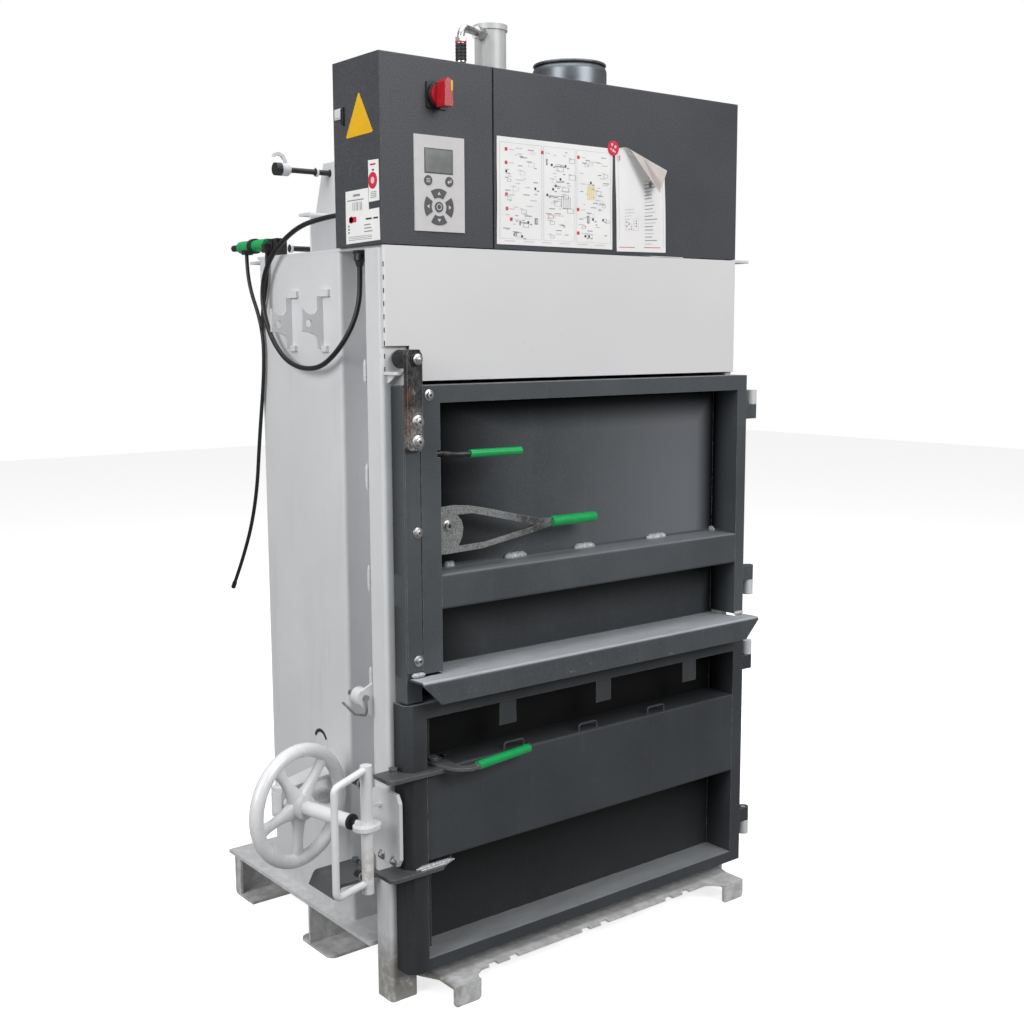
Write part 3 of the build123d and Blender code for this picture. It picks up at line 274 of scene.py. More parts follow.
def white_paint():
    """Pale grey-white powder coat with faint dirt, worn brown near the floor, and dark strap axles."""
    make = Finish("white_paint")
    blotch_noise = make.noise(38, 5, 0.7)
    make.mottled(make.noise(3, 4, 0.6), shade(212, 214, 216), shade(223, 224, 226))
    streaks = make.patches(0.56, 0.80, 16, 4, 0.7, (1, 1, 0.12))
    make.cover((150, 148, 144), streaks, 0.16)
    flecks = make.patches(0.70, 0.76, 170, 2, 0.6)
    make.cover((160, 158, 154), flecks, 0.45)
    edge, normal = make.edges(0.0014)
    make.cover((120, 114, 108), edge, make.patches(0.54, 0.62, 24, 5, 0.8), 0.55)
    near_floor = make.ramp("Z", 0.20, 0.0)
    make.cover(dirt_brown, near_floor, make.remap(blotch_noise, 0.38, 0.58), 0.45)
    make.cover((132, 127, 118), make.between("Z", -0.01, 0.11, 0.03),
               make.between("X", -0.48, -0.38, 0.01), make.between("Y", -0.40, -0.20, 0.02),
               make.remap(blotch_noise, 0.26, 0.52), 0.80)
    for height in strap_axle_heights:
        middle = (0, strap_axle_y, height)
        knob = make.both(make.near_line(middle, (1, 0, 0), 0.0152), make.ramp("X", -0.349, -0.351))
        rod = make.near_line(middle, (1, 0, 0), 0.0085)
        make.cover(dark_steel, make.larger(knob, rod))
    return make.finish(blotch_noise, 0.34, 0.46, make.bump(make.noise(420, 2), 0.10, 0.0004, normal))


def cover_paint():
    """Smooth white powder coat of the front cover."""
    make = Finish("cover_paint")
    clouds = make.noise(2.2, 3, 0.5)
    make.mottled(clouds, shade(221, 221, 222), shade(227, 227, 228))
    make.cover((170, 168, 165), make.patches(0.62, 0.74, 60, 5, 0.7), 0.18)
    skin = make.bump(make.noise(500, 2), 0.06, 0.0003, make.edges(0.0015)[1])
    return make.finish(clouds, 0.36, 0.42, skin)


def cast_paint():
    """Thick white enamel on the wheel and the lock, with a brown stain and a bare spindle."""
    make = Finish("cast_paint")
    clouds = make.noise(12, 4, 0.6)
    blotch_noise = make.noise(70, 5, 0.75)
    bar_place = lock_bar_place * mm
    make.mottled(clouds, shade(226, 227, 229), shade(234, 235, 236))
    make.cover((120, 116, 110), make.remap(blotch_noise, 0.66, 0.70), 0.5)
    make.cover((150, 128, 100), make.near_line(bar_place, to_top, 0.0135),
               make.between("Z", 0.27, 0.345, 0.02), make.remap(blotch_noise, 0.42, 0.56), 0.35)
    beside_bar = make.remap(make.near_line(bar_place, to_top, 0.027), 1, 0)
    make.cover(dark_steel, make.near_line(bar_place, lock_axis, 0.0082), beside_bar)
    make.set(Coat_Weight=0.35, Coat_Roughness=0.15)
    skin = make.bump(make.noise(90, 3), 0.10, 0.0006, make.edges(0.001)[1])
    return make.finish(clouds, 0.24, 0.32, skin)


def grey_coat(name, dark, light, grain, roughness, wear, streak=0.0, scratches=0.0, extra=None):
    """Dark grey coating with a fine grain, faint dusty streaks, and light edges that are partly worn
    paint and partly painted highlight.
    """
    make = Finish(name)
    clouds = make.noise(4, 4, 0.6)
    speck = make.noise(900, 2, 0.7)
    make.mottled(clouds, dark, light)
    pale_speck = tuple(0.16 + 2.0 * value for value in light)
    specks = make.both(make.remap(speck, 0.45, 0.75), grain)
    make.colour = make.blend(specks, make.colour, pale_speck)
    if streak:
        lines = make.patches(0.56, 0.78, 30, 4, 0.7, (1, 1, 0.08))
        make.cover((138, 140, 142), lines, streak)
    if scratches:
        for stretch in ((1, 1, 7.0), (6, 1, 1)):
            scratch = make.patches(0.68, 0.715, 11, 7, 0.85, stretch)
            make.cover((160, 162, 164), scratch, scratches)
    if extra:
        extra(make)
        make.set(Specular_IOR_Level=coat_specular)
    # Light edges: partly worn paint, partly a painted highlight along the sharp edges.
    edge, normal = make.edges(0.0015)
    edge_wear_and_highlight = make.patches(0.32, 0.6, 55, 4, 0.7)
    make.cover((178, 180, 182), edge, edge_wear_and_highlight, wear)
    skin = make.bump(speck, 0.14, 0.0004, normal)
    return make.finish(clouds, roughness, roughness + 0.10, skin)


def door_painted_light_and_chips(make):
    """Painted shade in the recesses and over the lower door, painted light on the upper panel's right and
    on the tops of the lip, the rails and the ledges, a fine mottle, and chips on the lip.
    """
    painted_shade_black = (3, 3, 4)
    mottle = make.noise(380, 3, 0.8)
    make.cover((120, 124, 128), make.remap(mottle, 0.52, 0.68), 0.22)
    make.cover((46, 49, 52), make.remap(mottle, 0.48, 0.34), 0.30)

    recess = make.ramp("Y", -0.325, -0.268)
    near_sides = make.larger(make.ramp("X", -0.33, -0.14, 1.0, 0.0), make.ramp("X", 0.395, 0.445))
    upper = make.ramp("Z", 0.858, 0.862)
    # Painted light: the recessed upper panel is made paler towards its right.
    to_the_right = make.ramp("X", -0.05, 0.36)
    make.cover((122, 125, 130), recess, upper, to_the_right, 0.8)
    # Painted shade: the recessed upper panel turns nearly black near the side stiles and below its top,
    # and loses most of its specular level there.
    near_frame = make.larger(near_sides, make.ramp("Z", 1.11, 1.18))
    shaded = make.both(recess, upper, near_frame)
    make.cover(painted_shade_black, shaded, 0.97)
    make.join(Specular_IOR_Level=make.remap(shaded, 0.0, 1.0, coat_specular, 0.06))

    # Painted shade: nearly black in the recess between the middle rail and the lip and in the recess
    # under the lip, and darker over the whole lower door, most on its left stile and its recessed lower
    # panel.
    under_rail = make.larger(near_sides, make.ramp("Z", 0.70, 0.79, 0.45, 1.0))
    middle = make.between("Z", 0.662, 0.800, 0.002)
    make.cover(painted_shade_black, recess, middle, under_rail, 0.97)
    behind_lip = make.between("Z", 0.476, 0.612, 0.002)
    make.cover(painted_shade_black, behind_lip, recess, 0.995)
    lower = make.ramp("Z", 0.613, 0.609)
    make.cover(painted_shade_black, lower, 0.34)
    left_stile = make.ramp("X", -0.405, -0.43)
    make.cover(painted_shade_black, lower, left_stile, make.ramp("Z", 0.60, 0.45), 0.35)
    lower_panel = make.ramp("Z", 0.298, 0.290)
    make.cover(painted_shade_black, recess, lower_panel, make.ramp("Z", 0.10, 0.27, 0.42, 0.95))

    # Painted highlight: the faces that look up on the lip, the bottom rail and the ledges are made paler,
    # in uneven patches.
    up = make.remap(make.facing_up(), 0.35, 0.8)
    blotch_noise = make.remap(make.noise(18, 6, 0.8, (0.35, 1, 1)), 0.30, 0.62, 0.70, 1.0)
    lip_top = make.between("Z", 0.61, 0.674, 0.002)
    make.cover((186, 190, 195), up, lip_top, blotch_noise, 0.95)
    bottom_rail = make.between("Z", 0.085, 0.125, 0.002)
    make.cover((150, 153, 156), up, bottom_rail, blotch_noise, 0.9)
    ledges = make.ramp("Z", 0.78, 0.79)
    make.cover((160, 164, 168), up, ledges, blotch_noise, 0.45)
    chips = make.patches(0.62, 0.67, 34, 6, 0.85, (0.5, 1, 1.6))
    make.cover((176, 178, 180), make.between("Z", 0.61, 0.668, 0.001),
               make.ramp("Y", -0.345, -0.352), chips, 0.6)


def hood_grain(make):
    """Coarse orange-peel mottle of the powder coat."""
    mottle = make.noise(330, 3, 0.8)
    make.cover((104, 107, 113), make.remap(mottle, 0.50, 0.66), 0.35)
    make.cover((44, 46, 50), make.remap(mottle, 0.50, 0.36), 0.40)


def metal(name, dark, light, smooth, rough, scale=60, metallic=1.0):
    """Bare or plated metal with uneven tone and fine marks."""
    make = Finish(name)
    marks = make.noise(scale, 6, 0.7)
    make.set(Metallic=metallic)
    skin = make.bump(marks, 0.15, 0.0003, make.edges(0.0008)[1])
    make.mottled(marks, dark, light)
    return make.finish(marks, smooth, rough, skin)


def plastic(name, dark, light, smooth, rough, scale=80, grain=0.1, coat=0.0, wear=0.0):
    """Moulded plastic, rubber, paper or print with a fine grain."""
    make = Finish(name)
    marks = make.noise(scale, 4, 0.6)
    make.mottled(marks, dark, light)
    if wear:
        rubbed = make.patches(0.56, 0.66, scale * 0.7, 6, 0.8)
        make.cover((130, 128, 124), rubbed, wear)
    make.set(Coat_Weight=coat, Coat_Roughness=0.15)
    skin = make.bump(make.noise(scale * 8, 2), grain, 0.0003, make.edges(0.0008)[1])
    return make.finish(marks, smooth, rough, skin)


def worn_steel():
    """Dark steel strap, scuffed to bare metal, with a rust-brown streak and a speckled foot."""
    make = Finish("worn_steel")
    marks = make.noise(80, 6, 0.8, (1, 1, 0.6))
    make.mottled(marks, shade(34, 34, 36), shade(92, 91, 90), 0.44, 0.66)
    scuffs = make.patches(0.57, 0.62, 26, 6, 0.85, (1, 1, 0.3))
    make.cover((150, 147, 144), scuffs, make.ramp("Z", 1.25, 1.21), 0.8)
    specks = make.patches(0.42, 0.60, 260, 4, 0.8)
    make.cover((176, 172, 168), make.ramp("Z", 1.182, 1.160), specks, 0.8)
    make.cover((96, 58, 42), make.between("X", -0.462, -0.444, 0.004),
               make.between("Z", 1.125, 1.215, 0.012), make.remap(marks, 0.40, 0.56), 0.8)
    edge, normal = make.edges(0.0016)
    make.cover((186, 184, 180), edge, 0.7)
    make.set(Metallic=0.35)
    return make.finish(marks, 0.34, 0.6, make.bump(marks, 0.4, 0.0006, normal))


def lever_plate():
    """Speckled zinc-grey plate of the forked lever, blackened towards its grip."""
    make = Finish("lever_steel")
    speck = make.noise(420, 4, 0.8)
    marks = make.noise(40, 6, 0.8)
    make.mottled(speck, shade(92, 94, 93), shade(176, 179, 178), 0.36, 0.62)
    make.cover((84, 80, 76), make.remap(marks, 0.54, 0.64), 0.4)
    near_grip = make.between("X", -0.185, -0.086, 0.03)
    make.cover((40, 38, 38), near_grip, make.remap(marks, 0.30, 0.5), 0.75)
    edge, normal = make.edges(0.0012)
    make.cover((206, 206, 204), edge, 0.6)
    make.set(Metallic=0.45)
    return make.finish(marks, 0.42, 0.6, make.bump(speck, 0.25, 0.0004, normal))


# Coated paints: dark and light tone, grain, roughness, light edges of wear and painted highlight,
# streaks, scratches, and more
coated = {
    "hood_paint": ((64, 66, 71), (74, 76, 81), 0.10, 0.40, 0.3, 0, 0, hood_grain),
    "door_paint": ((69, 73, 77), (83, 87, 91), 0.10, 0.42, 0.8, 0.10, 0.30, door_painted_light_and_chips),
    "plate_paint": ((70, 72, 74), (88, 90, 92), 0.12, 0.38, 0.9, 0.3, 0.5),
    "platen_paint": ((122, 122, 122), (138, 138, 138), 0.1, 0.5, 0.6, 0.2, 0.3),
    "motor_paint": ((88, 96, 104), (100, 108, 116), 0.15, 0.45, 0.4),
}
# Plastic, rubber, smooth paint, paper and print: dark and light tone, least and most roughness,
# size of the noise, grain, clear coat and wear
moulded = {
    "barrel_paint": ((186, 188, 188), (198, 199, 199), 0.34, 0.44, 20, 0.12, 0.2, 0.15),
    "green_grip": ((6, 158, 82), (14, 172, 94), 0.28, 0.38, 90, 0.12, 0.3),
    "black_rubber": ((26, 26, 27), (36, 36, 37), 0.38, 0.5, 60, 0.15),
    "black_plastic": ((24, 24, 26), (32, 32, 34), 0.35, 0.45, 120, 0.15),
    "dull_black": ((20, 20, 21), (34, 34, 35), 0.45, 0.6, 90, 0.2, 0, 0.5),
    "red_plastic": ((172, 22, 34), (186, 28, 40), 0.22, 0.3, 120, 0.08, 0.4),
    "keypad_foil": ((206, 204, 204), (212, 210, 210), 0.42, 0.5, 60, 0.05),
    "key_grey": ((72, 75, 78), (84, 87, 90), 0.4, 0.5, 90, 0.08),
    "screen_glass": ((104, 108, 106), (124, 128, 126), 0.12, 0.2, 30, 0.02, 0.6),
    "sign_yellow": ((232, 178, 12), (242, 190, 22), 0.35, 0.45, 60, 0.06, 0.2),
    "painted_weld": ((212, 213, 215), (222, 223, 225), 0.34, 0.44, 120, 0.3),
    "paper": ((240, 240, 240), (246, 246, 245), 0.55, 0.7, 24, 0.08),
    # The paper's back is a greyer, browner copy of the paper: painted shade for the underside of the
    # rolled-over corner.
    "paper_back": ((188, 178, 172), (206, 198, 192), 0.6, 0.75, 16, 0.08),
    "paper_rose": ((232, 196, 202), (240, 210, 214), 0.5, 0.7, 40, 0.05),
    "ink_black": ((40, 40, 42), (60, 60, 62), 0.5, 0.6, 200, 0.05),
    "ink_grey": ((134, 134, 137), (160, 160, 163), 0.5, 0.6, 200, 0.05),
    "ink_pale": ((196, 196, 198), (212, 212, 214), 0.5, 0.6, 200, 0.05),
    "ink_red": ((206, 32, 58), (222, 50, 74), 0.45, 0.55, 160, 0.05),
    "ink_yellow": ((238, 214, 132), (244, 224, 156), 0.5, 0.6, 120, 0.05),
}
# Metals: dark and light tone, least and most roughness, size of the marks, and metallic share
metals = {
    "chrome_rod": ((0.72, 0.73, 0.75), (0.82, 0.83, 0.85), 0.08, 0.16),
    "bare_steel": ((0.20, 0.195, 0.185), (0.50, 0.49, 0.47), 0.32, 0.5, 45, 0.85),
    "zinc": ((0.46, 0.46, 0.47), (0.66, 0.66, 0.67), 0.25, 0.42),
    "clamp_steel": (shade(52, 52, 54), shade(92, 92, 92), 0.35, 0.55, 60, 0.8),
    "cowl_steel": (shade(98, 104, 110), shade(132, 138, 144), 0.30, 0.44, 20, 0.7),
    "release_steel": (shade(40, 40, 42), shade(84, 84, 84), 0.34, 0.5, 70, 0.7),
    "weld_metal": (shade(150, 152, 154), shade(216, 218, 220), 0.36, 0.5, 190, 0.25),
}
materials = {"white_paint": white_paint(), "cover_paint": cover_paint(),
             "cast_paint": cast_paint(), "worn_steel": worn_steel(), "lever_steel": lever_plate()}
for name, (dark, light, *looks) in coated.items():
    materials[name] = grey_coat(name, shade(*dark), shade(*light), *looks)
for name, (dark, light, *looks) in moulded.items():
    materials[name] = plastic(name, shade(*dark), shade(*light), *looks)
for name, looks in metals.items():
    materials[name] = metal(name, *looks)


def paint(piece, finish):
    """Gives a piece one finish."""
    piece.data.materials.clear()
    piece.data.materials.append(materials[finish])


for name, node in nodes.items():
    paint(node, slots[name])
paint(nodes["release_lever"], "release_steel")
paint(nodes["roller"], "dull_black")
paint(nodes["y_lever"], "lever_steel")


def add_cord(name, route, diameter, node):
    """Smooth round cord along a route in millimetres."""
    data = bpy.data.curves.new(name, "CURVE")
    data.dimensions = "3D"
    data.bevel_depth = diameter * mm / 2
    data.bevel_resolution = 6
    data.resolution_u = 10
    data.use_fill_caps = True
    spline = data.splines.new("NURBS")
    spline.points.add(len(route) - 1)
    for control, place in zip(spline.points, route):
        control.co = (*point(*place), 1)
    spline.order_u = 3
    spline.use_endpoint_u = True
    data.materials.append(materials[cord_slot])
    piece = add_object(name, data)
    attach(piece, bodies[node])
    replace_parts(piece, node)
    return piece


cord_slot = "black_rubber"
control_loop = add_cord("control_cable_loop", cable_route, cable_diameter, "control_cable")
lead = add_cord("switch_lead", lead_route, lead_diameter, "hanging_lead")
branch = add_cord("switch_lead_branch", branch_route, lead_diameter, "hanging_lead")
hose = add_cord("pressure_hose", hose_route, hose_diameter, "hydraulic_hose")


def walls(count):
    """Side faces between a lower and an upper outline."""
    return [(step, (step + 1) % count, count + (step + 1) % count, count + step) for step in range(count)]


def spokes(axis, sides, turn=0.0):
    """Axis of length one, and directions around it."""
    axis = Vector(axis).normalized()
    across = axis.orthogonal().normalized()
    over = axis.cross(across)
    angles = [tau * step / sides + turn for step in range(sides)]
    return axis, [across * cos(angle) + over * sin(angle) for angle in angles]


# Builder of mesh pieces
class Piece:
    """A mesh piece that is built from closed forms, in millimetres."""

    def __init__(self, name, body, slot, *finishes):
        self.name = name
        self.body = body
        self.slot = slot
        self.finishes = [materials[finish] for finish in finishes or (slot,)]
        self.corners = []
        self.faces = []
        self.shades = []

    def add(self, corners, faces, finish=0):
        """Adds a form; its finish is one number, or a list with one for each face."""
        first = len(self.corners)
        self.corners.extend(corners)
        self.faces.extend([first + index for index in face] for face in faces)
        self.shades.extend(finish if isinstance(finish, list) else [finish] * len(faces))

    def prism(self, place, outline, low, high, finish=0):
        """Flat form between two heights above a plane."""
        count = len(outline)
        corners = [place(u, v, height) for height in (low, high) for u, v in outline]
        ends = [tuple(range(count)), tuple(range(count, 2 * count))]
        self.add(corners, ends + walls(count), finish)

    def bar(self, place, u0, u1, v0, v1, low, high, finish=0):
        """Rectangle between two heights above a plane."""
        self.prism(place, [(u0, v0), (u1, v0), (u1, v1), (u0, v1)], low, high, finish)

    def disc(self, place, u, v, radius, low, high, finish=0, sides=32):
        """Round plate between two heights above a plane."""
        outline = [(u + radius * cos(tau * step / sides),
                    v + radius * sin(tau * step / sides)) for step in range(sides)]
        self.prism(place, outline, low, high, finish)

    def sector(self, place, u, v, inner, outer, start, end, low, high, finish=0, steps=10):
        """Part of a ring between two angles in degrees, or a whole ring without end walls."""
        angles = [radians(start + (end - start) * step / steps) for step in range(steps + 1)]
        rim = [(u + outer * cos(angle), v + outer * sin(angle)) for angle in angles]
        bore = [(u + inner * cos(angle), v + inner * sin(angle)) for angle in reversed(angles)]
        count = 2 * len(angles)
        outline = rim + bore
        corners = [place(a, b, height) for height in (low, high) for a, b in outline]
        closed = end - start >= 360
        faces = [wall for step, wall in enumerate(walls(count))
                 if not (closed and step in (steps, count - 1))]
        lower = [(step, step + 1, count - 2 - step, count - 1 - step) for step in range(steps)]
        faces += lower + [tuple(count + index for index in quad) for quad in lower]
        self.add(corners, faces, finish)

    def turned(self, base, axis, profile, sides=32, finish=0, turn=0.0):
        """Round form along an axis, from distances along it and radii."""
        axis, ways = spokes(axis, sides, turn)
        corners = [Vector(base) + axis * distance + way * radius
                   for distance, radius in profile for way in ways]
        faces = [tuple(range(sides)), tuple(range(len(corners) - sides, len(corners)))]
        for ring in range(0, len(corners) - sides, sides):
            for step in range(sides):
                here = ring + step
                there = ring + (step + 1) % sides
                faces.append((here, there, there + sides, here + sides))
        self.add(corners, faces, finish)

    def hoop(self, centre, axis, radius, wire, sides=48, around=10):
        """Ring of round wire."""
        axis, ways = spokes(axis, sides)
        rolls = [tau * part / around for part in range(around)]
        corners = [Vector(centre) + way * (radius + wire * cos(roll))
                   + axis * wire * sin(roll) for way in ways for roll in rolls]
        faces = []
        for step in range(sides):
            here = step * around
            there = (step + 1) % sides * around
            for part in range(around):
                later = (part + 1) % around
                faces.append((here + part, here + later, there + later, there + part))
        self.add(corners, faces)

    def bead(self, start, end, radius, seed):
        """Lumpy weld bead from one place to another."""
        draw = random.Random(seed)
        length = (Vector(end) - Vector(start)).length
        count = max(5, round(length / 2.2))
        profile = []
        for step in range(count + 1):
            share = step / count
            taper = min(1.0, 0.35 + 4 * min(share, 1 - share))
            ripple = 0.90 + 0.14 * (step % 2) + draw.uniform(-0.07, 0.07)
            profile.append((share * length, radius * taper * ripple))
        self.turned(start, Vector(end) - Vector(start), profile, 12)

    def hex_bolt(self, centre, axis, size, height, turn=0.0, socket=True):
        """Washer, hexagon head with a turned face, and a bore drawn as a thin raised hexagon in the
        piece's second finish, painted shade of the socket, or a domed end.
        """
        washer = 1.4
        rim = size * 0.86
        head = size / 2 / cos(pi / 6)
        rise = washer + height
        self.turned(centre, axis, [(-0.5, rim), (washer, rim), (washer + 0.4, size * 0.80)])
        self.turned(centre, axis, [(washer, head), (rise, head)], 6, 0, turn)
        if socket:
            self.turned(centre, axis, [(rise - 0.5, head * 0.80), (rise + 0.5, head * 0.72)])
            # The bore is a thin hexagon in the piece's second finish, a dark one here: painted shade
            # inside the socket.
            self.turned(centre, axis, [(rise - 0.5, head * 0.40), (rise + 0.62, head * 0.40)], 6, 1, turn)
        else:
            self.turned(centre, axis, [(rise - 0.5, head * 0.55), (rise + 2.4, head * 0.50),
                                       (rise + 2.8, head * 0.40)])

    def build(self, bevel=0.0, segments=2):
        """Blender object in metres that rides on its body."""
        data = bpy.data.meshes.new(self.name)
        data.from_pydata([corner * mm for corner in self.corners], [], self.faces)
        for material in self.finishes:
            data.materials.append(material)
        data.polygons.foreach_set("material_index", self.shades)
        work = bmesh.new()
        work.from_mesh(data)
        bmesh.ops.recalc_face_normals(work, faces=work.faces)
        work.to_mesh(data)
        work.free()
        data.shade_smooth()
        data.set_sharp_from_angle(angle=radians(35))
        piece = add_object(self.name, data)
        if bevel:
            rounding = piece.modifiers.new("rounding", "BEVEL")
            rounding.width = bevel * mm
            rounding.segments = segments
            rounding.limit_method = "ANGLE"
            rounding.angle_limit = radians(40)
        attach(piece, self.body)
        return piece


def mixed(low, high, share):
    """Value at a share of the way from one value to another."""
    return low + (high - low) * share


# Control box: latch with a black plate beside it as its painted shadow, plain sign, labels
box_side = left(box_left_face)
latch = Piece("box_latch", "frame", "white_paint", "white_paint", "black_plastic")
latch.bar(box_side, -170, -145, 1712, 1732, -0.5, 3.0)
latch.bar(box_side, -168, -148, 1714.5, 1729.5, 2.5, 4.2)
# Black plate beside the latch: painted shadow of the latch.
latch.prism(box_side, [(-178, 1699), (-169, 1702), (-169, 1731), (-178, 1733)], -0.5, 4.0, 1)
latch.build(0.8)

sign = Piece("plain_triangle", "frame", "keypad_foil", "sign_yellow")
sign.prism(box_side, [(-274.5, 1679.5), (-272, 1676.5), (-185, 1674.5), (-182.5, 1677.5),
                      (-227.5, 1751.5), (-230.5, 1751.5)], -0.4, 0.6)
sign.build(0.2, 1)

labels = Piece("side_labels", "frame", "keypad_foil", "paper", "ink_grey", "ink_red", "ink_black",
               "paper_rose")
grey, red, black, rose = 1, 2, 3, 4


def label_bars(finish, bars, rise=0.7):
    """Printed bars on the labels, each from its places towards the rear and up."""
    for back0, back1, up0, up1 in bars:
        labels.bar(box_side, back0, back1, up0, up1, 0.2, rise, finish)


labels.prism(box_side, [(-294, 1483), (-175, 1481), (-176, 1578), (-255.5, 1579),
                        (-257, 1540), (-292, 1541)], -0.4, 0.5)
labels.prism(box_side, [(-293, 1554), (-257.5, 1553), (-257, 1628), (-292.5, 1627)], -0.4, 0.5)
labels.disc(box_side, -272, 1591, 15, 0.3, 0.9, red)
labels.disc(box_side, -272, 1591, 6, 0.6, 1.05, rose)
labels.disc(box_side, -195, 1525, 6.5, 0.3, 0.8, red)
label_bars(red, [(-282, -264, 1618, 1621), (-213, -187, 1520, 1530)], 0.8)
label_bars(black, [(-277, -270, 1608, 1611)], 0.8)
label_bars(black, [(-266, -246, 1522, 1525), (-288, -272, 1522, 1525)])
label_bars(grey, [(-227, -203, 1567, 1571), (-240, -182, 1559.5, 1561.5)])
for step in range(7):
    label_bars(black if step % 2 else grey,
               [(-233 + 5 * step, -231 + 5 * step - (step % 3) * 0.6, 1541, 1556)])
for step in range(4):
    line = 1560 + 3.2 * step
    label_bars(grey, [(-284, -263 - 2 * (step % 2), line, line + 1.3)])
for step in range(3):
    line = 1500 + 6 * step
    label_bars(grey, [(-268 + 3 * step, -240, line, line + 2)])
    label_bars(black, [(-188, -184, line, line + 3)])
    label_bars(grey, [(-266, -184, 1487 + 3 * step, 1488 + 3 * step)], 0.6)
labels.build()

# Keypad with its display and keys
pad = front(keypad_face)
keypad = Piece("keypad_face", "frame", "keypad_foil", "key_grey", "screen_glass", "keypad_foil")
glass, foil = 1, 2
key_height = (-0.4, 1.1)
print_height = (0.8, 1.35)
keypad.bar(front(hood_face), -403, -289, 1502, 1677, -0.3, 3.0, foil)
keypad.bar(pad, -381, -316, 1608, 1654, -0.4, 0.5)
keypad.bar(pad, -379, -318, 1610, 1652, 0.2, 0.9, glass)
for key_x in (-373, -325):
    keypad.disc(pad, key_x, 1595, 9.2, *key_height)
for step in range(3):
    line = 1591.2 + 3 * step
    keypad.bar(pad, -377.5, -368.5, line, line + 1.4, *print_height, foil)
keypad.prism(pad, [(-330, 1594), (-325.5, 1590), (-325.5, 1593), (-320.5, 1593), (-320.5, 1599),
                   (-322.5, 1599), (-322.5, 1595.2), (-325.5, 1595.2), (-325.5, 1598)],
             *print_height, foil)
ring_x, ring_z = -349, 1547.6
for turn in (0, 90, 180, 270):
    keypad.sector(pad, ring_x, ring_z, 17, 33.5, turn - 33, turn + 33, *key_height)
    way = Vector((cos(radians(turn)), sin(radians(turn))))
    side = Vector((-way.y, way.x))
    tip = Vector((ring_x, ring_z)) + way * 28
    foot = Vector((ring_x, ring_z)) + way * 22
    keypad.prism(pad, [tip, foot + side * 4, foot - side * 4], *print_height, foil)
keypad.disc(pad, ring_x, ring_z, 9.6, *key_height)
keypad.sector(pad, ring_x, ring_z, 4.4, 6.0, 0, 360, *print_height, foil, 24)
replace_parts(keypad.build(0.25, 1), "keypad")

# Main switch: collar on the plate, yellow marks on the handle
collar = Piece("switch_collar", "frame", "black_plastic")
collar.turned((-350, -303.7, 1750), to_front, [(0, 23.5), (6.0, 23.5), (7.2, 22.0)], 48)
collar.build()
switch_marks = Piece("switch_marks", "switch", "red_plastic", "sign_yellow")
switch_marks.bar(front(-340), -345, -341, 1754, 1772, -9.0, 0.8)
switch_marks.bar(left(-341.5), -338, -318, 1752, 1774, -1.0, 0.8)
switch_marks.build(0.6)

# Papers on the hood, and the finishes of their print
sheet_finishes = ("paper", "paper_back", "ink_black", "ink_grey", "ink_red", "ink_yellow",
                  "ink_pale", "paper_rose")
PAPER, BACK, BLACK, GREY, RED, YELLOW, PALE, ROSE = range(len(sheet_finishes))
paper_thickness = 0.3
slope_step = 0.004


class Sheet:
    """Thin sheet that follows a surface, with print that lies on it."""

    def __init__(self, name, surface, columns, rows):
        self.piece = Piece(name, "frame", "keypad_foil", *sheet_finishes)
        self.surface = surface
        self.columns = columns
        self.rows = rows
        # Its underside takes the paper's darker back: painted shade where the corner rolls over.
        self.patch(0, 1, 0, 1, columns, rows, -paper_thickness, 0, PAPER, BACK)

    def place(self, s, t, lift):
        """Point above the sheet, and out along its normal."""
        across = self.surface(s + slope_step, t) - self.surface(s - slope_step, t)
        along = self.surface(s, t + slope_step) - self.surface(s, t - slope_step)
        return self.surface(s, t) + across.cross(along).normalized() * lift

    def patch(self, s0, s1, t0, t1, columns, rows, low, high, finish, under=None):
        """Closed patch between two heights above the sheet."""
        under = finish if under is None else under
        grid = [(mixed(s0, s1, column / columns), mixed(t0, t1, row / rows))
                for row in range(rows + 1) for column in range(columns + 1)]
        count = len(grid)
        wide = columns + 1
        corners = [self.place(s, t, height) for height in (low, high) for s, t in grid]
        firsts = [row * wide + column for row in range(rows) for column in range(columns)]
        lower = [(first, first + 1, first + wide + 1, first + wide) for first in firsts]
        upper = [tuple(count + index for index in face) for face in lower]
        rim = [(row * wide + column, row * wide + column + 1)
               for row in (0, rows) for column in range(columns)]
        rim += [(row * wide + column, (row + 1) * wide + column)
                for row in range(rows) for column in (0, columns)]
        sides = [(start, end, count + end, count + start) for start, end in rim]
        self.piece.add(corners, lower + upper + sides,
                       [under] * len(lower) + [finish] * len(upper + sides))

    def mark(self, s, t, width, height, finish):
        """Small printed field, its size given as shares of the sheet."""
        columns = max(1, round(width * self.columns))
        rows = max(1, round(height * self.rows))
        self.patch(s - width / 2, s + width / 2, t - height / 2, t + height / 2, columns, rows,
                   -0.05, 0.14, finish)

    def frame_lines(self, s0, s1, t0, t1, finish):
        """Thin printed frame."""
        thin = 0.0028
        for t in (t0, t1):
            self.mark((s0 + s1) / 2, t, s1 - s0, thin, finish)
        for s in (s0, s1):
            self.mark(s, (t0 + t1) / 2, thin, t1 - t0, finish)


draw = random.Random(7)
notice_left, notice_right = -210, 93
notice_low, notice_high = 1485, 1690


def notice_surface(s, t):
    """Nearly flat sheet on the hood's face."""
    u = mixed(notice_left, notice_right, s)
    v = mixed(notice_low, notice_high, t)
    wave = 0.9 + 0.45 * sin(u / 31 + v / 60) + 0.35 * sin(v / 23 - u / 90)
    return Vector((u, hood_face - wave, v))


def at(u, v):
    """Shares of the flat notice from a place on the hood."""
    return ((u - notice_left) / (notice_right - notice_left),
            (v - notice_low) / (notice_high - notice_low))


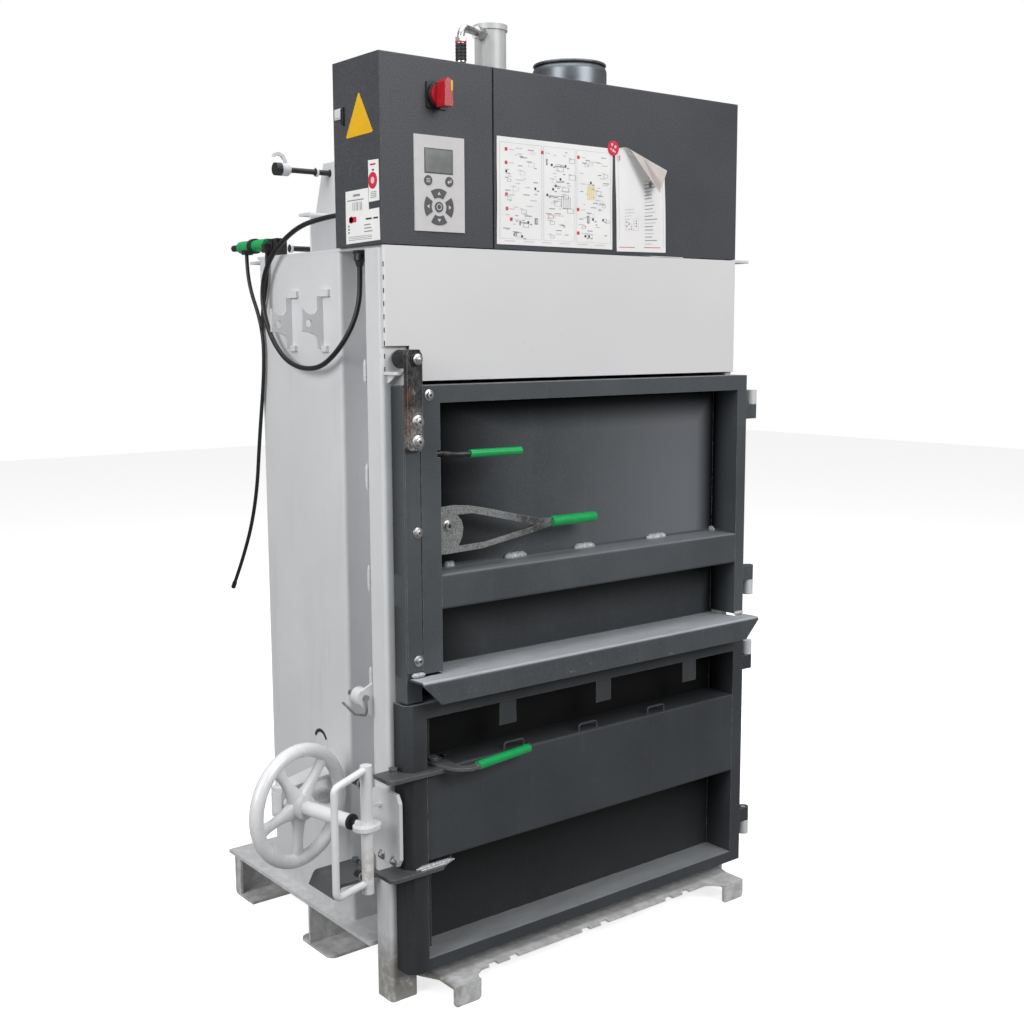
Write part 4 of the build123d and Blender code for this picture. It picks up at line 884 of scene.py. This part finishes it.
notice = Sheet("notice_flat", notice_surface, 40, 28)
for column_left, column_right in ((-203, -97), (-92, -10), (-5, 88)):
    s0, t0 = at(column_left, 1497)
    s1, t1 = at(column_right, 1680)
    notice.frame_lines(s0, s1, t0, t1, PALE)
    for row in range(11):
        for word in range(4):
            u = mixed(column_left + 12, column_right - 12, draw.random())
            v = mixed(1508, 1672, (row + draw.random()) / 11)
            notice.mark(*at(u, v), draw.uniform(0.015, 0.06), 0.008, draw.choice((GREY, PALE)))
            if word == 0:
                half = draw.uniform(0.012, 0.03)
                s, t = at(u + 6, v - 5)
                notice.frame_lines(s - half, s + half, t - half * 0.8, t + half * 0.8,
                                   draw.choice((GREY, PALE)))
for u, v in ((-187, 1667), (-95.5, 1667.5), (-1, 1665.6), (-187, 1641.6), (-187, 1581),
             (-186, 1554), (-175, 1534), (-1.6, 1562), (-1, 1515)):
    notice.mark(*at(u, v), 0.022, 0.032, RED)
    notice.mark(*at(u + 14, v), 0.040, 0.007, PALE)
for u, v in ((-71.5, 1645), (-36, 1645), (-49, 1618.5), (-61, 1605), (-68, 1598), (-83, 1586),
             (-114, 1596), (32.5, 1617), (39, 1544), (67, 1544), (18, 1509.5), (28, 1509.5),
             (-132, 1530), (-187, 1625), (-148, 1502)):
    notice.mark(*at(u, v), 0.015, 0.024, BLACK)
    notice.mark(*at(u + 7, v - 4), 0.020, 0.010, GREY)
figures = ((-111.5, 1533, 0.028, 0.062), (26, 1543, 0.022, 0.075), (-84, 1650, 0.014, 0.060),
           (-153, 1528, 0.012, 0.045), (-165, 1505, 0.030, 0.026))
for u, v, width, height in figures:
    notice.mark(*at(u, v), width, height, GREY)
    notice.mark(*at(u + 1, v), width * 0.45, height * 0.7, PALE)
for step in range(4):
    notice.mark(*at(25 + 5.4 * step, 1597), 0.011, 0.135, YELLOW)
for step in range(5):
    notice.mark(*at(-45 + 5.5 * step, 1574), 0.0035, 0.11, GREY)
    notice.mark(*at(-79 + 9 * step, 1547), 0.022, 0.010, ROSE)
notice.mark(*at(-60, 1585), 0.15, 0.005, GREY)
for step in range(6):
    notice.mark(*at(-178 + 47 * step, 1492.5), 0.09, 0.008, ROSE)
notice.piece.build()

# The second sheet is rolled over along a line from one edge to the other
fold_place = Vector((122, 1688))
fold_across = Vector((0.306, 0.952)).normalized()
fold_radius = 6.5
fold_turn = radians(163)


def curled_surface(s, t):
    """Sheet on the hood's face with its upper corner rolled forward and down."""
    low = Vector((mixed(107, 250, s), mixed(1482, 1484, s)))
    high = Vector((mixed(100, 241, s), mixed(1689, 1733, s)))
    flat = low.lerp(high, t)
    beyond = (flat - fold_place).dot(fold_across)
    wave = 1.0 + 0.5 * sin(flat.y / 27) + 0.4 * sin(flat.x / 19)
    if beyond <= 0:
        return Vector((flat.x, hood_face - wave, flat.y))
    angle = min(beyond / fold_radius, fold_turn)
    rest = max(0.0, beyond - fold_radius * fold_turn)
    reach = fold_radius * sin(angle) + rest * cos(angle)
    lift = fold_radius * (1 - cos(angle)) + rest * sin(angle)
    rolled = flat + fold_across * (reach - beyond)
    return Vector((rolled.x, hood_face - wave - lift, rolled.y))


curled = Sheet("notice_curled", curled_surface, 40, 96)
for mark in ((0.07, 0.905, 0.075, 0.055, ROSE), (0.08, 0.905, 0.018, 0.040, BLACK),
             (0.055, 0.50, 0.006, 0.78, ROSE), (0.955, 0.40, 0.006, 0.72, ROSE),
             (0.20, 0.042, 0.32, 0.006, RED), (0.72, 0.042, 0.34, 0.006, RED),
             (0.70, 0.60, 0.06, 0.05, GREY)):
    curled.mark(*mark)
for row in range(19):
    width = draw.uniform(0.13, 0.26)
    curled.mark(0.57 + width / 2, 0.075 + 0.031 * row, width, 0.0075, GREY if row % 3 else PALE)
for row in range(6):
    width = draw.uniform(0.08, 0.20)
    curled.mark(0.16 + width / 2, 0.40 - 0.030 * row, width, 0.006, PALE)
curled.frame_lines(0.17, 0.44, 0.20, 0.31, ROSE)
for row in range(4):
    for column in range(5):
        if draw.random() < 0.7:
            curled.mark(0.20 + 0.048 * column, 0.215 + 0.024 * row, 0.022, 0.010,
                        draw.choice((ROSE, GREY, BLACK)))
for row in range(5):
    width = draw.uniform(0.10, 0.20)
    curled.mark(0.66 + width / 2, 0.66 + 0.022 * row, width, 0.012, BLACK if row > 1 else GREY)
for row in range(7):
    t = 0.905 + 0.012 * row
    curled.patch(0.50 + 0.05 * row, 0.97, t, t + 0.004, 12, 1, -0.45, -0.28, GREY)
curled.piece.build()

sticker = Piece("round_sticker", "frame", "red_plastic", "ink_red", "paper_rose")
hood_front = front(hood_face)
sticker.disc(hood_front, 94, 1691, 15, -0.4, 2.6, 0, 40)
for u, v, radius in ((90, 1698, 3.0), (99, 1694, 3.4), (93, 1686, 3.2), (87, 1689, 2.2), (98, 1684, 2.4)):
    sticker.disc(hood_front, u, v, radius, 2.2, 2.85, 1, 7)
sticker.build(0.3, 1)

# Front cover: black discs as painted shade inside small holes in its folded side, marks along its corner
cover_side = left(cover_left_face)
holes = Piece("cover_holes", "frame", "black_plastic")
for y, z, radius in ((-250, 1428, 4.0), (-248, 1381, 3.6), (-248, 1462, 3.4)):
    holes.disc(cover_side, y, z, radius, -0.5, 0.35)
for step in range(9):
    z = 1440 - 24 * step
    holes.bar(cover_side, -299, -296.5, z - 5, z + 4, -0.5, 0.3)
holes.build()

# Welds
welds = Piece("door_welds", "upper_door", "plate_paint", "weld_metal")
weld_z = mid_rail_top + 1.5
for number, (start, end) in enumerate(((-322, -297), (-169, -112), (19, 77), (232, 293), (439, 447))):
    welds.bead((start, -267, weld_z), (end, -266, weld_z), 9.0, number)
welds.bead((-449, -338, 669), (-420, -340, 669), 5.0, 11)
welds.bead((448, -338, 669), (474, -340, 669), 5.0, 12)
welds.build()
plate_welds = Piece("latch_plate_welds", "lower_door", "plate_paint", "weld_metal")
plate_welds.bead((-438, -321, 479), (-406, -320, 479), 4.0, 21)
plate_welds.bead((-446, -339, 284), (-356, -339, 284), 5.0, 22)
plate_welds.bead((-440, -346, 283), (-372, -345, 283), 3.6, 23)
plate_welds.build()
post_welds = Piece("post_welds", "frame", "white_paint", "painted_weld")
for number, (low, high) in enumerate(((1219, 1266), (1016, 1069), (820, 872), (620, 672))):
    post_welds.bead((-474.5, -233.5, low), (-474.5, -233.5, high), 3.6, 31 + number)
post_welds.build()

# Screws and bolts of the doors
screws = Piece("door_screw_heads", "upper_door", "zinc", "zinc", "dull_black")
for number, (x, z) in enumerate(((-434, 1151), (-434.5, 1114))):
    screws.hex_bolt((x, strap_face, z), to_front, 15, 6.0, 0.3 + 0.5 * number)
for number, (x, z) in enumerate(((-401, 1199), (-430, 942), (-432, 696))):
    screws.hex_bolt((x, door_face, z), to_front, 12.5, 5.2, 0.2 + 0.4 * number)
screws.hex_bolt((-438, -357, 1266), to_front, 12, 3.0, 0.1, False)
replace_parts(screws.build(0.5), "door_screws")

fork_bolt = Piece("fork_bolt_head", "fork", "zinc", "zinc", "dull_black")
fork_bolt.turned((-346, -315.5, 945), to_front, [(0, 11.5), (1.6, 11.5), (2.0, 10.8)])
fork_bolt.turned((-346, -317.2, 945), to_front, [(0, 8.6), (4.4, 8.6), (5.4, 7.4)])
# Black hexagon: painted shade inside the bolt's socket.
fork_bolt.turned((-346, -322.2, 945), to_front, [(0, 4.2), (0.5, 4.2)], 6, 1)
fork_bolt.build(0.3)

latch_bolts = Piece("latch_bolts", "lower_door", "black_plastic", "dull_black", "zinc")
for x, y in ((-361, -275), (-340, -286)):
    latch_bolts.turned((x, y, 477.5), to_top, [(0, 7.4), (4.6, 7.4), (5.0, 6.8)], 6)
latch_bolts.build(0.4)

# Lock: seal on the sleeve, pins beside the locking bar, nuts on the guard plate
seal = Piece("sleeve_seal", "wheel", "black_rubber")
seal.turned(lock_bar_place + lock_axis * 36.5, lock_axis,
            [(0, 12.5), (0.6, 15.2), (6.0, 15.4), (7.0, 14.4)], 40)
seal.build(0.3)
pins = Piece("lock_pins", "lock_slide_body", "zinc", "zinc", "dull_black")
for z, length in ((474, 31), (291, 27)):
    pins.turned((-551, -318, z), to_rear, [(0, 7.0), (length - 1, 7.0), (length, 6.0)], 24, 1)
    pins.turned((-551, -316, z), to_rear, [(0, 10.5), (2.0, 10.5)])
pins.build(0.3)
guard_nuts = Piece("guard_nuts", "frame", "zinc", "zinc", "dull_black")
for number, y in enumerate((-276, -318)):
    guard_nuts.hex_bolt((-483, y, 306), to_left, 12, 4.5, 0.3 + 0.4 * number, False)
guard_nuts.build(0.4)

# Round mark on the side beam: an arc over a faint circle
beam_side = left(beam_left_face)
arc = Piece("arc_mark", "frame", "keypad_foil", "ink_black", "ink_pale")
arc.sector(beam_side, -15, 466, 20, 27, 22, 158, -0.4, 0.5, 0, 18)
arc.sector(beam_side, -15, 466, 27.5, 28.5, -180, 180, -0.4, 0.4, 1, 40)
arc.build()

# Cable glands with their tapered reliefs
glands = Piece("gland_bodies", "frame", "black_plastic", "black_plastic", "clamp_steel")
glands.turned((-450, -182, 1470.5), to_floor, [(0, 12.6), (6.5, 12.6)], 6, 1, 0.2)
glands.turned((-450, -182, 1464.5), to_floor,
              [(0, 10.6), (4, 10.6), (4.6, 11.2), (13, 11.2), (14, 9.4), (20, 7.6), (24.5, 6.3)],
              32, 1)
glands.turned((-457, -138, 1540), to_rear, [(0, 12.4), (6, 12.4)], 6, 0, 0.1)
glands.turned((-457, -132.5, 1540), to_rear, [(0, 10.8), (6, 10.8), (7, 9.2), (11, 7.6), (14, 6.2)])
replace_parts(glands.build(0.3), "cable_glands")

# Sleeve at the hose's upper end, with its ring and nut
hose_x, hose_y = hose_route[0][:2]
crimp = Piece("hose_crimp", "frame", "black_plastic", "dull_black", "ink_red", "zinc")
rings = [(0, 10.6)]
for step in range(5):
    groove = 7 * step
    rings += [(4 + groove, 12.0), (8 + groove, 12.0), (9 + groove, 11.3), (10 + groove, 11.3)]
crimp.turned((hose_x, hose_y, 1889), to_top, rings)
crimp.turned((hose_x, hose_y, 1928), to_top, [(0, 12.2), (3.4, 12.2)], 32, 1)
crimp.turned((hose_x, hose_y, 1931), to_top, [(0, 12.6), (9, 12.6)], 6, 2)
crimp.build(0.3)

# Grille of the motor's fan, and the band at the cylinder's top
grille = Piece("fan_grille", "frame", "cowl_steel", "cowl_steel", "dull_black")
grille_centre = Vector((262, 32, 1926))
for step in range(7):
    grille.hoop(grille_centre, to_top, 12 + 10 * step, 1.3)
for step in range(4):
    angle = pi * step / 4 + 0.3
    way = Vector((cos(angle), sin(angle), 0))
    grille.turned(grille_centre - way * 78 - Vector((0, 0, 1.6)), way, [(0, 1.4), (156, 1.4)], 10)
grille.turned((262, 32, 1924.2), to_top, [(0, 80), (0.9, 80)], 48, 1)
grille.hoop(grille_centre - Vector((0, 0, 1)), to_top, 82, 3.0)
grille.build()
band = Piece("barrel_band", "frame", "black_plastic", "dull_black")
band.turned((33.5, 35, 1974), to_top, [(0, 35.3), (1.6, 35.3)], 48)
band.build()

# Thin pale hook above the upper strap axle
hook = Piece("rear_hook", "frame", "white_paint", "painted_weld")
bow = [(-372, 1700), (-368, 1710), (-358, 1714), (-344, 1709), (-336, 1696), (-335, 1684),
       (-341, 1684), (-343, 1694), (-350, 1703), (-359, 1706), (-365, 1702)]
hook.prism(front(300), bow, -3, 3)
hook.build(0.8)


# Floor and light
def add_floor():
    """Plain pale floor."""
    half = 12
    data = bpy.data.meshes.new("floor")
    corners = [(-half, -half, 0), (half, -half, 0), (half, half, 0), (-half, half, 0)]
    data.from_pydata(corners, [], [(0, 1, 2, 3)])
    floor = add_object("floor", data)
    make = Finish("floor_paper")
    make.set(Base_Color=(0.90, 0.90, 0.90, 1), Roughness=0.8,
             Emission_Color=(1, 1, 1, 1), Emission_Strength=0.70)
    data.materials.append(make.material)
    floor.visible_diffuse = False
    floor.visible_glossy = False


def add_lamp(name, place, target, size, power):
    """Soft square lamp that faces a point."""
    data = bpy.data.lights.new(name, "AREA")
    data.shape = "RECTANGLE"
    data.size, data.size_y = size
    data.energy = power
    lamp = add_object(name, data)
    lamp.location = place
    lamp.rotation_euler = (Vector(target) - Vector(place)).to_track_quat("-Z", "Y").to_euler()


def add_world():
    """White backdrop for the camera, and a softer white light on the object."""
    world = bpy.data.worlds.new("studio")
    scene.world = world
    world.use_nodes = True
    tree = world.node_tree
    sky = tree.nodes["Background"]
    sky.inputs["Color"].default_value = (1, 1, 1, 1)
    rays = tree.nodes.new("ShaderNodeLightPath")
    strength = tree.nodes.new("ShaderNodeMapRange")
    strength.inputs["To Min"].default_value = 0.22
    strength.inputs["To Max"].default_value = 1.0
    tree.links.new(rays.outputs["Is Camera Ray"], strength.inputs["Value"])
    tree.links.new(strength.outputs["Result"], sky.inputs["Strength"])


scene.view_settings.view_transform = "Standard"
add_floor()
machine_middle = (0, 0, 0.9)
add_lamp("front_lamp", (0.9, -4.4, 3.2), machine_middle, (3.0, 2.0), 128)
add_lamp("left_lamp", (-4.2, -0.8, 2.8), machine_middle, (2.5, 2.5), 118)
add_lamp("top_lamp", (0, 0, 4.5), machine_middle, (4.0, 4.0), 115)
add_world()
